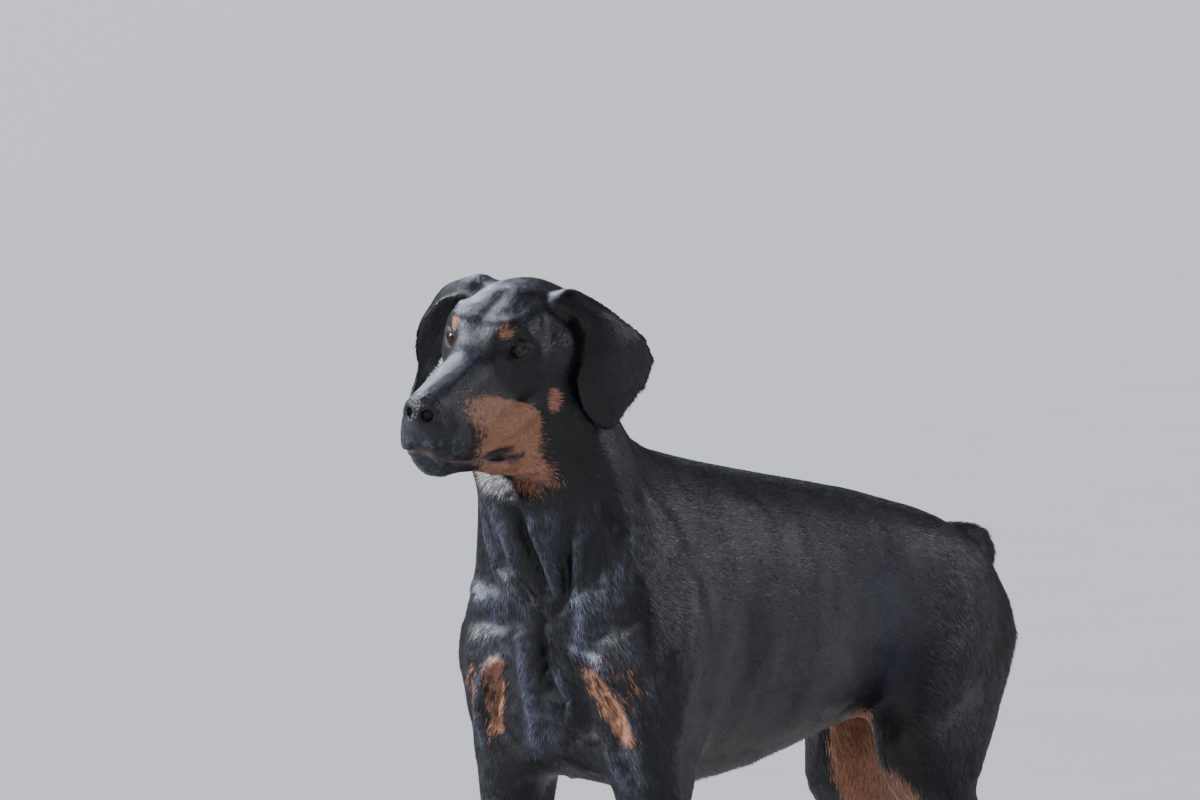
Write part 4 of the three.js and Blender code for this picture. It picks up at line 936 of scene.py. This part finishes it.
skin_finish = Finish("short coat and bare skin")
hair_grain = skin_finish.noise(900, 2, 0.6, (1, 1, 0.25))
fine_grain = skin_finish.noise(1500, 2, 0.6, (0.3, 1, 1))
pebbles = skin_finish.cells(620)
colour = coat_colour_and_painted_light(skin_finish, hair_grain)
bare = skin_finish.mixed(skin_finish.noise(180), LIP, LEATHER)
colour = skin_finish.mixed(skin_finish.attribute("lips"), colour, bare)
colour = skin_finish.mixed(skin_finish.attribute("leather"), colour, LEATHER)
colour = skin_finish.mixed(skin_finish.attribute("pads"), colour, LEATHER)
naked = skin_finish.plus(skin_finish.attribute("leather"), skin_finish.attribute("lips"))
rough = skin_finish.plus(skin_finish.span(naked, 0, 1, 0.42, 0.3), skin_finish.times(hair_grain, 0.12))
relief = skin_finish.plus(skin_finish.times(hair_grain, 0.5), skin_finish.times(fine_grain, 0.5))
normal = skin_finish.bump(relief, 0.0006)
leather_relief = skin_finish.times(pebbles, skin_finish.attribute("leather"))
pebbled = skin_finish.add("ShaderNodeBump", {"Height": leather_relief, "Distance": 0.0005, "Normal": normal})
SKIN_FINISH = skin_finish.finish(
    Base_Color=colour, Roughness=rough, Normal=pebbled.outputs["Normal"], Specular_IOR_Level=0.4,
    Sheen_Weight=0.04, Sheen_Roughness=0.4, Sheen_Tint=(0.75, 0.8, 1.0, 1),
)
skin.data.materials.append(SKIN_FINISH)
only(skin)
bpy.ops.object.shade_smooth()
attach(skin, "root")
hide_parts(*FLESH)

# %% [markdown]
# ## The lie of the coat
# Short hair lies flat and all of it points away from the nose: back over the head, down the neck, back and
# down along the body, down the legs, and out to the tips of the ears. On the breast two streams part at the
# middle. The direction at any spot is a mix of such streams, laid flat on the skin.

# %% Which way the hair points
def unit(vectors):
    return vectors / np.maximum(np.linalg.norm(vectors, axis=-1, keepdims=True), 1e-9)


def lie_of_coat(world, out, on_ear):
    body, head = to_body(world), to_head(world)
    side = np.sign(head[:, 1])
    sides = np.sign(body[:, 1])
    ones = np.ones(len(world))

    def stream(x, y, z):
        return np.stack([x * ones, y * ones, z * ones], 1)

    low = 1 - ramp(body[:, 2], 380, 560)
    trunk = stream(-1, 0, -0.22 - 0.45 * low)
    neck = stream(-0.5 + 0.5 * ramp(out[:, 0], 0.2, 0.8), 0.15 * sides, -1)
    breast = stream(-0.1, 0.45 * sides, -1)
    leg = stream(-0.12, 0, -1)
    haunch = stream(-0.55, 0, -1)
    way = trunk
    for flow, share in (
        (neck, ramp(body[:, 0], 40, 110) * ramp(body[:, 2], 470, 560)),
        (breast, ramp(body[:, 0], 70, 120) * (1 - ramp(body[:, 2], 470, 540))),
        (haunch, ramp(-body[:, 0], 300, 420) * (1 - ramp(body[:, 2], 480, 560))),
        (leg, 1 - ramp(body[:, 2], 290, 380)),
    ):
        way = way * (1 - share[:, None]) + flow * share[:, None]
    tail = (body[:, 0] < -500) & (body[:, 2] > 480) & (np.abs(body[:, 1]) < 26)
    way[tail] = stream(-1, 0, 0.1)[tail] * ramp(body[:, 0], -556, -530)[tail, None] + (0, 0, -0.5)
    over = stream(-1, 0.25 * side * ramp(head[:, 0], 20, 90), 0.12)
    cheek = stream(-1, 0, -0.35)
    level = ramp(head[:, 2], -50, -5)[:, None]
    face = (over * level + cheek * (1 - level)) @ HEAD_AXES.T
    share = head_share(world)[:, None]
    way = way * (1 - share) + face * share
    ear = stream(-0.25, 0.25 * side, -1) @ HEAD_AXES.T
    way = way * (1 - on_ear[:, None]) + ear * on_ear[:, None]
    way = unit(way)
    way -= out * (way * out).sum(1)[:, None]
    return unit(way)


# %% [markdown]
# ## An unwrap of the skin
# For baking, every tuft must know its place on a flat map of the skin. The skin is cut into flat patches
# for that, as a hide would be.

# %% Unwrap the skin
only(skin)
bpy.ops.object.mode_set(mode="EDIT")
bpy.ops.mesh.select_all(action="SELECT")
bpy.ops.uv.smart_project(angle_limit=math.radians(66), island_margin=0.002)
bpy.ops.object.mode_set(mode="OBJECT")
print("unwrapped", skin.data.uv_layers.active.name)

# %% [markdown]
# ## Tufts
# One tuft is a thin blade, pinched to a point, with a low ridge at its root: two faces above, one below and
# one at the end. Tens of thousands lie like tiles over each region, each with its own small turn, length
# and lift. They are shorter on the legs, ears and face, and stand out a little only along the belly, the
# backs of the thighs, the tail and the roots of the ears, where a real coat breaks the line. Each blade
# shades as the skin under it does, so that the gloss runs over many hairs, as it does on a sleek dog.

# %% Blades of hair
RNG = np.random.default_rng(11)
OFF_TUFT = 0.0015
ROOT_SUNK = 0.1
RIDGE_UP = 0.1
ROUND_ACROSS = 0.25
ROUND_ALONG = 0.12
STRAY_HAIRS = 0.9


def triangle_table(mesh):
    mesh.calc_loop_triangles()
    corners = np.empty(len(mesh.loop_triangles) * 3, dtype=np.int32)
    mesh.loop_triangles.foreach_get("vertices", corners)
    loops = np.empty(len(mesh.loop_triangles) * 3, dtype=np.int32)
    mesh.loop_triangles.foreach_get("loops", loops)
    return corners.reshape(-1, 3), loops.reshape(-1, 3)


def tuft_size(world, on_ear):
    body, head = to_body(world), to_head(world)
    length = 7.6 + 2.5 * patchiness(body, 40, 7)
    length -= 2.0 * (1 - ramp(body[:, 2], 200, 330))
    length -= 2.0 * (1 - ramp(body[:, 2], 40, 110))
    face = head_share(world)
    length = length * (1 - face) + face * (5.4 - 3.0 * ramp(head[:, 0], 20, 110))
    length = np.where(on_ear > 0.5, 4.2, length)
    lift = 3.4 + 1.5 * patchiness(body, 25, 8)
    belly = ramp(-body[:, 0], -40, 40) * (1 - ramp(body[:, 2], 350, 400)) * (np.abs(body[:, 1]) < 60)
    belly *= body[:, 2] > 330
    thigh = ramp(-body[:, 0], 440, 490) * ramp(body[:, 2], 250, 330)
    tail = (body[:, 0] < -510) & (body[:, 2] > 480)
    ear_root = np.exp(-(((both_sides(head) - (4, 45, 16)) / (16, 9, 8)) ** 2).sum(1))
    rough = np.maximum.reduce([belly, 0.5 * thigh, 0.8 * tail, ear_root])
    return length * (1 + 0.35 * rough), lift + 12 * rough


def blades(name, mesh, corners, loops, uv, count, region, growing):
    points, outs = read(mesh.vertices, "co"), read(mesh.vertices, "normal")
    on_ear = read(mesh.attributes["ear"].data, "value", 1)[:, 0]
    chosen = corners[region]
    a, b, c = (points[chosen[:, k]] for k in range(3))
    area = np.linalg.norm(np.cross(b - a, c - a), axis=1) * growing[chosen].mean(1)
    pick = RNG.choice(len(chosen), size=count, p=area / area.sum())
    share = RNG.random((count, 2))
    share = np.where(share.sum(1, keepdims=True) > 1, 1 - share, share)
    share = np.concatenate([1 - share.sum(1, keepdims=True), share], 1)
    at = chosen[pick]

    def blend(values):
        return (values[at] * share[:, :, None]).sum(1)

    root, out = blend(points), unit(blend(outs))
    ear = blend(on_ear[:, None])[:, 0]
    uv_root = (uv[loops[region][pick]] * share[:, :, None]).sum(1)
    way = lie_of_coat(root, out, ear)
    across = np.cross(out, way)
    swirl = 0.35 * patchiness(to_body(root), 22, 9) + RNG.normal(0, 0.14, count)
    way, across = (
        way * np.cos(swirl)[:, None] + across * np.sin(swirl)[:, None],
        across * np.cos(swirl)[:, None] - way * np.sin(swirl)[:, None],
    )
    length, lift = tuft_size(root, ear)
    length = length * RNG.uniform(0.7, 1.25, count)
    lift = np.radians(np.clip(lift + RNG.normal(0, 1.4, count), 1.2, 30))
    width = (0.40 + 0.045 * length) * RNG.uniform(0.8, 1.2, count)
    tip = root + MM * length[:, None] * (way * np.cos(lift)[:, None] + out * np.sin(lift)[:, None])
    sunk = root - out * ROOT_SUNK * MM
    half = across * (width / 2)[:, None] * MM
    ridge = root + out * RIDGE_UP * MM
    corners_of = np.stack([sunk - half, sunk + half, ridge, tip], 1).reshape(-1, 3)
    faces = np.array([[0, 3, 2], [1, 2, 3], [0, 1, 3], [0, 2, 1]])
    faces = (faces[None] + 4 * np.arange(count)[:, None, None]).reshape(-1, 3)
    flat = np.array([[-1, -1], [1, -1], [0, -0.2], [0, 1]]) * OFF_TUFT
    uv_of = (uv_root[:, None] + flat[None]).reshape(-1, 2)
    coat = bpy.data.meshes.new(name)
    coat.vertices.add(len(corners_of))
    coat.vertices.foreach_set("co", corners_of.ravel())
    coat.loops.add(faces.size)
    coat.loops.foreach_set("vertex_index", faces.ravel().astype(np.int32))
    coat.polygons.add(len(faces))
    coat.polygons.foreach_set("loop_start", np.arange(0, faces.size, 3, dtype=np.int32))
    coat.update(calc_edges=True)
    tilt = RNG.normal(0, 0.1, (count, 1)) * across + RNG.normal(0, 0.08, (count, 1)) * way
    bend = ROUND_ACROSS * across
    upper = [out - bend + tilt, out + ROUND_ALONG * way + tilt, out + tilt, out + bend + tilt]
    under = [-out, -out, -out, -way, -way, -way]
    normals = np.stack([upper[k] for k in (0, 1, 2, 3, 2, 1)] + under, 1)
    coat.uv_layers.new(name="OFBake").data.foreach_set("uv", uv_of[faces.ravel()].ravel())
    rust = rust_share(root)
    # Each tuft takes the rust and the painted light of its root: sheen in the haze, navy shade, silver
    # highlight.
    haze_and_sheen, painted_navy_shade = haze_and_sheen_share(root)
    stray = RNG.random(count)
    rust = ramp(rust + STRAY_HAIRS * (stray - 0.5), 0.2, 0.8)
    tone = RNG.random(count)
    painted_highlight = painted_highlight_share(root)
    shares = {"rust": rust, "haze_and_sheen": haze_and_sheen, "painted_navy_shade": painted_navy_shade, "painted_highlight": painted_highlight, "tone": tone}
    for layer, values in shares.items():
        paint(coat, layer, np.repeat(values, 4))
    coat.polygons.foreach_set("use_smooth", np.ones(len(faces), dtype=bool))
    coat.normals_split_custom_set(unit(normals).reshape(-1, 3).tolist())
    coat.materials.append(COAT_FINISH)
    obj = bpy.data.objects.new(name, coat)
    bpy.context.scene.collection.objects.link(obj)
    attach(obj, "root")
    print(name, count, "tufts,", len(faces), "faces")


# %% [markdown]
# ## The hair's finish
# The tufts take the skin's colours from their own roots. Each has a tone of its own, darker and smoother or
# paler and duller, which is what makes hair look like many strands.

# %% Finish of the tufts
coat_finish = Finish("short glossy hair")
tone = coat_finish.attribute("tone")
hair = coat_colour_and_painted_light(coat_finish, tone)
shade = coat_finish.span(tone, 0, 1, 0.6, 1.45)
varied = coat_finish.add("ShaderNodeHueSaturation", {"Color": hair, "Value": shade})
COAT_FINISH = coat_finish.finish(
    Base_Color=varied.outputs["Color"], Roughness=coat_finish.span(tone, 0, 1, 0.34, 0.5),
    Specular_IOR_Level=0.42,
    Sheen_Weight=0.015, Sheen_Roughness=0.35, Sheen_Tint=(0.75, 0.82, 1.0, 1),
)

# %% [markdown]
# ## The coat in eight pieces
# The body is covered region by region, so that no piece grows too heavy. Nothing grows on the nose, the
# lips, the rims of the lids, the eye sockets or the soles.

# %% Cover each region
TUFTS = 46000
EARS_SHARE = 0.7
mesh = skin.data
corners, loops = triangle_table(mesh)
uv = read(mesh.uv_layers.active.data, "uv", 2)
world = read(mesh.vertices, "co")
leather, lips, pads = bare_share(world)
bare = np.maximum.reduce([ramp(leather, 0.2, 0.6), ramp(lips, 0.25, 0.6), ramp(pads, 0.2, 0.6)])
in_head = both_sides(to_head(world))
in_socket = np.linalg.norm(in_head - EYE_AT, axis=1) < EYE_RADIUS + 0.9
growing = (1 - bare) * ~in_socket
middle = world[corners].mean(1)
ear_of = read(mesh.attributes["ear"].data, "value", 1)[:, 0][corners].mean(1) > 0.5
body, face = to_body(middle), head_share(middle) > 0.5
hind = (body[:, 0] < -255) & (body[:, 2] < 470)
front = (body[:, 0] > 64) & (body[:, 2] < 500) | (body[:, 2] < 330) & ~hind
throat = (body[:, 0] > 40) & ~front & ~face & ~ear_of
left = body[:, 1] > 0
rest = ~(hind | front | throat | face | ear_of)
COATS = {
    "coat_head": face & ~ear_of, "coat_ears": ear_of,
    "coat_neck": throat, "coat_front": front & ~face & ~ear_of,
    "coat_side_left": rest & left, "coat_side_right": rest & ~left,
    "coat_hind_left": hind & left, "coat_hind_right": hind & ~left,
}
for name, region in COATS.items():
    share = EARS_SHARE if name == "coat_ears" else 1.0
    blades(name, mesh, corners, loops, uv, int(TUFTS * share), region, growing)

# %% [markdown]
# ## Eyes
# An eyeball is two balls in one: the white globe, and in front the clear cornea that bulges a little over
# the iris. A dog shows nearly no white. So a round ball is turned to the gaze, its front pushed out, and
# rings of colour are read from the distance to the line of sight.

# %% Eyeballs
IRIS_RADIUS = 6.4
CORNEA_RISE = 0.7
EYE_COLOURS = (
    (0.0, (0.002, 0.002, 0.002, 1)), (0.4, (0.002, 0.002, 0.002, 1)), (0.48, (0.026, 0.009, 0.004, 1)),
    (0.7, (0.032, 0.012, 0.005, 1)), (0.93, (0.012, 0.005, 0.003, 1)), (1.0, (0.028, 0.020, 0.020, 1)),
)
eye_finish = Finish("wet eye")
ramp_node = eye_finish.add("ShaderNodeValToRGB", {"Fac": eye_finish.attribute("from_pupil")})
stops = ramp_node.color_ramp.elements
while len(stops) < len(EYE_COLOURS):
    stops.new(0.5)
for stop, (place, tint) in zip(stops, EYE_COLOURS):
    stop.position, stop.color = place, tint
rays = eye_finish.noise(700, 4)
dark_rays = eye_finish.span(rays, 0.35, 0.7, 0, 0.5)
iris = eye_finish.mixed(dark_rays, ramp_node.outputs["Color"], (0.01, 0.004, 0.002, 1))
EYE_FINISH = eye_finish.finish(
    Base_Color=iris, Roughness=0.25, Specular_IOR_Level=0.15,
    Coat_Weight=0.7, Coat_Roughness=0.02, Coat_IOR=1.38,
)


def eyeball(side):
    bpy.ops.object.select_all(action="DESELECT")
    bpy.ops.mesh.primitive_uv_sphere_add(segments=48, ring_count=32, radius=1, location=(0, 0, 0))
    ball = bpy.context.view_layer.objects.active
    ball.name = ball.data.name = "eyeball_left" if side > 0 else "eyeball_right"
    round_points = read(ball.data.vertices, "co")
    aside = np.hypot(round_points[:, 0], round_points[:, 1]) * EYE_RADIUS
    front = round_points[:, 2] > 0
    rise = np.where(front, CORNEA_RISE * (1 - ramp(aside, 0, IRIS_RADIUS + 1)), 0)
    aim = gaze(side)
    sideways = np.cross((0, 0, 1), aim)
    sideways /= np.linalg.norm(sideways)
    axes = np.stack([sideways, np.cross(aim, sideways), aim])
    shaped = round_points * EYE_RADIUS
    shaped[:, 2] += rise
    move_points(ball.data, to_world(shaped @ axes + EYE_AT * (1, side, 1)))
    reach = np.where(front, np.minimum(aside / IRIS_RADIUS, 1), 1)
    paint(ball.data, "from_pupil", reach)
    ball.data.materials.append(EYE_FINISH)
    only(ball)
    bpy.ops.object.shade_smooth()
    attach(ball, "root")
    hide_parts("eye_left" if side > 0 else "eye_right")


for side in (1, -1):
    eyeball(side)
print("eyeballs", EYE_RADIUS * 2, "mm across, iris", IRIS_RADIUS * 2)

# %% [markdown]
# ## Claws
# A claw is a curved cone of black horn with grooves along it. Copies of the frame's claws are smoothed, so
# that their tips stay where the frame has them.

# %% Claws of each foot
horn = Finish("black horn")
grooves = horn.noise(500, 3, 0.6, (0.25, 1, 0.5))
horn_colour = horn.mixed(horn.span(grooves, 0.4, 0.7), (0.012, 0.010, 0.010, 1), (0.045, 0.034, 0.028, 1))
HORN_FINISH = horn.finish(
    Base_Color=horn_colour,
    Roughness=horn.span(grooves, 0.3, 0.7, 0.28, 0.45),
    Normal=horn.bump(grooves, 0.0003),
)
for foot in ("fore_left", "fore_right", "hind_left", "hind_right"):
    own = [n for n in HORN if foot in n or (foot.startswith("fore") and n == "dewclaw_" + foot[5:])]
    claws = joined([merged_copy(name, "claw_copy") for name in own], "claws_" + foot)
    apply_modifier(claws, "SUBSURF", levels=2, render_levels=2)
    claws.data.materials.append(HORN_FINISH)
    only(claws)
    bpy.ops.object.shade_smooth()
    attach(claws, "root")
    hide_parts(*own)
    print(claws.name, len(own), "claws")

# %% [markdown]
# ## Room, light and camera
# The room is a photographer's: a pale floor, a large lamp high on the camera's left, a weak one opposite,
# and two behind, which draw the gloss along the crown and nose and along the flank. The camera stands about
# six metres away with a long lens, at the height of the withers and a little more.

# %% Floor, lamps and camera
def pale_floor():
    bpy.ops.object.select_all(action="DESELECT")
    bpy.ops.mesh.primitive_plane_add(size=3000, location=(0, 0, 0))
    floor = bpy.context.view_layer.objects.active
    floor.name = "studio_floor"
    paper = Finish("matt studio floor")
    grain = paper.noise(3, 4)
    floor.data.materials.append(paper.finish(
        Base_Color=paper.mixed(grain, (0.34, 0.34, 0.335, 1), (0.37, 0.37, 0.365, 1)), Roughness=0.85
    ))


def lamp(name, towards, power, spread, tint):
    data = bpy.data.lights.new(name, "SUN")
    data.energy, data.angle, data.color = power, math.radians(spread), tint
    obj = bpy.data.objects.new(name, data)
    bpy.context.scene.collection.objects.link(obj)
    obj.rotation_euler = Vector(towards).to_track_quat("Z", "Y").to_euler()


CAMERA_AT = BODY_ZERO + MM * np.array([4960, 3569, 1050])
AROUND = math.radians(36.5)
VIEW = np.array([-math.cos(AROUND), -math.sin(AROUND), 0])
RIGHT = np.array([-math.sin(AROUND), math.cos(AROUND), 0])
FRAME_WIDE, FOCAL = 1200, 6900
LOOK = VIEW * FOCAL + RIGHT * 52 - np.array([0, 0, 417])
pale_floor()
lamp("key", (0.60, -0.64, 0.52), 9.0, 9, (0.90, 0.94, 1.0))
lamp("crown", (-0.45, -0.60, 0.66), 2.8, 14, (0.80, 0.87, 1.0))
lamp("flank", (-0.75, 0.60, 0.42), 1.0, 24, (0.85, 0.90, 1.0))
lamp("fill", (0.75, 0.85, 0.35), 0.8, 60, (1.0, 0.95, 0.9))
sky = bpy.data.worlds.new("even sky")
bpy.context.scene.world = sky
sky.use_nodes = True
sky.node_tree.nodes["Background"].inputs["Color"].default_value = (0.83, 0.86, 0.92, 1)
sky.node_tree.nodes["Background"].inputs["Strength"].default_value = 0.12
lens = bpy.data.cameras.new("camera")
lens.sensor_width = 36
lens.lens = lens.sensor_width * float(np.linalg.norm(LOOK)) / FRAME_WIDE
lens.clip_end = 500
camera = bpy.data.objects.new("camera", lens)
bpy.context.scene.collection.objects.link(camera)
camera.location = CAMERA_AT
camera.rotation_euler = Vector(LOOK).to_track_quat("-Z", "Y").to_euler()
bpy.context.scene.camera = camera
print("lens", round(lens.lens, 1), "mm at", np.round(CAMERA_AT, 3))
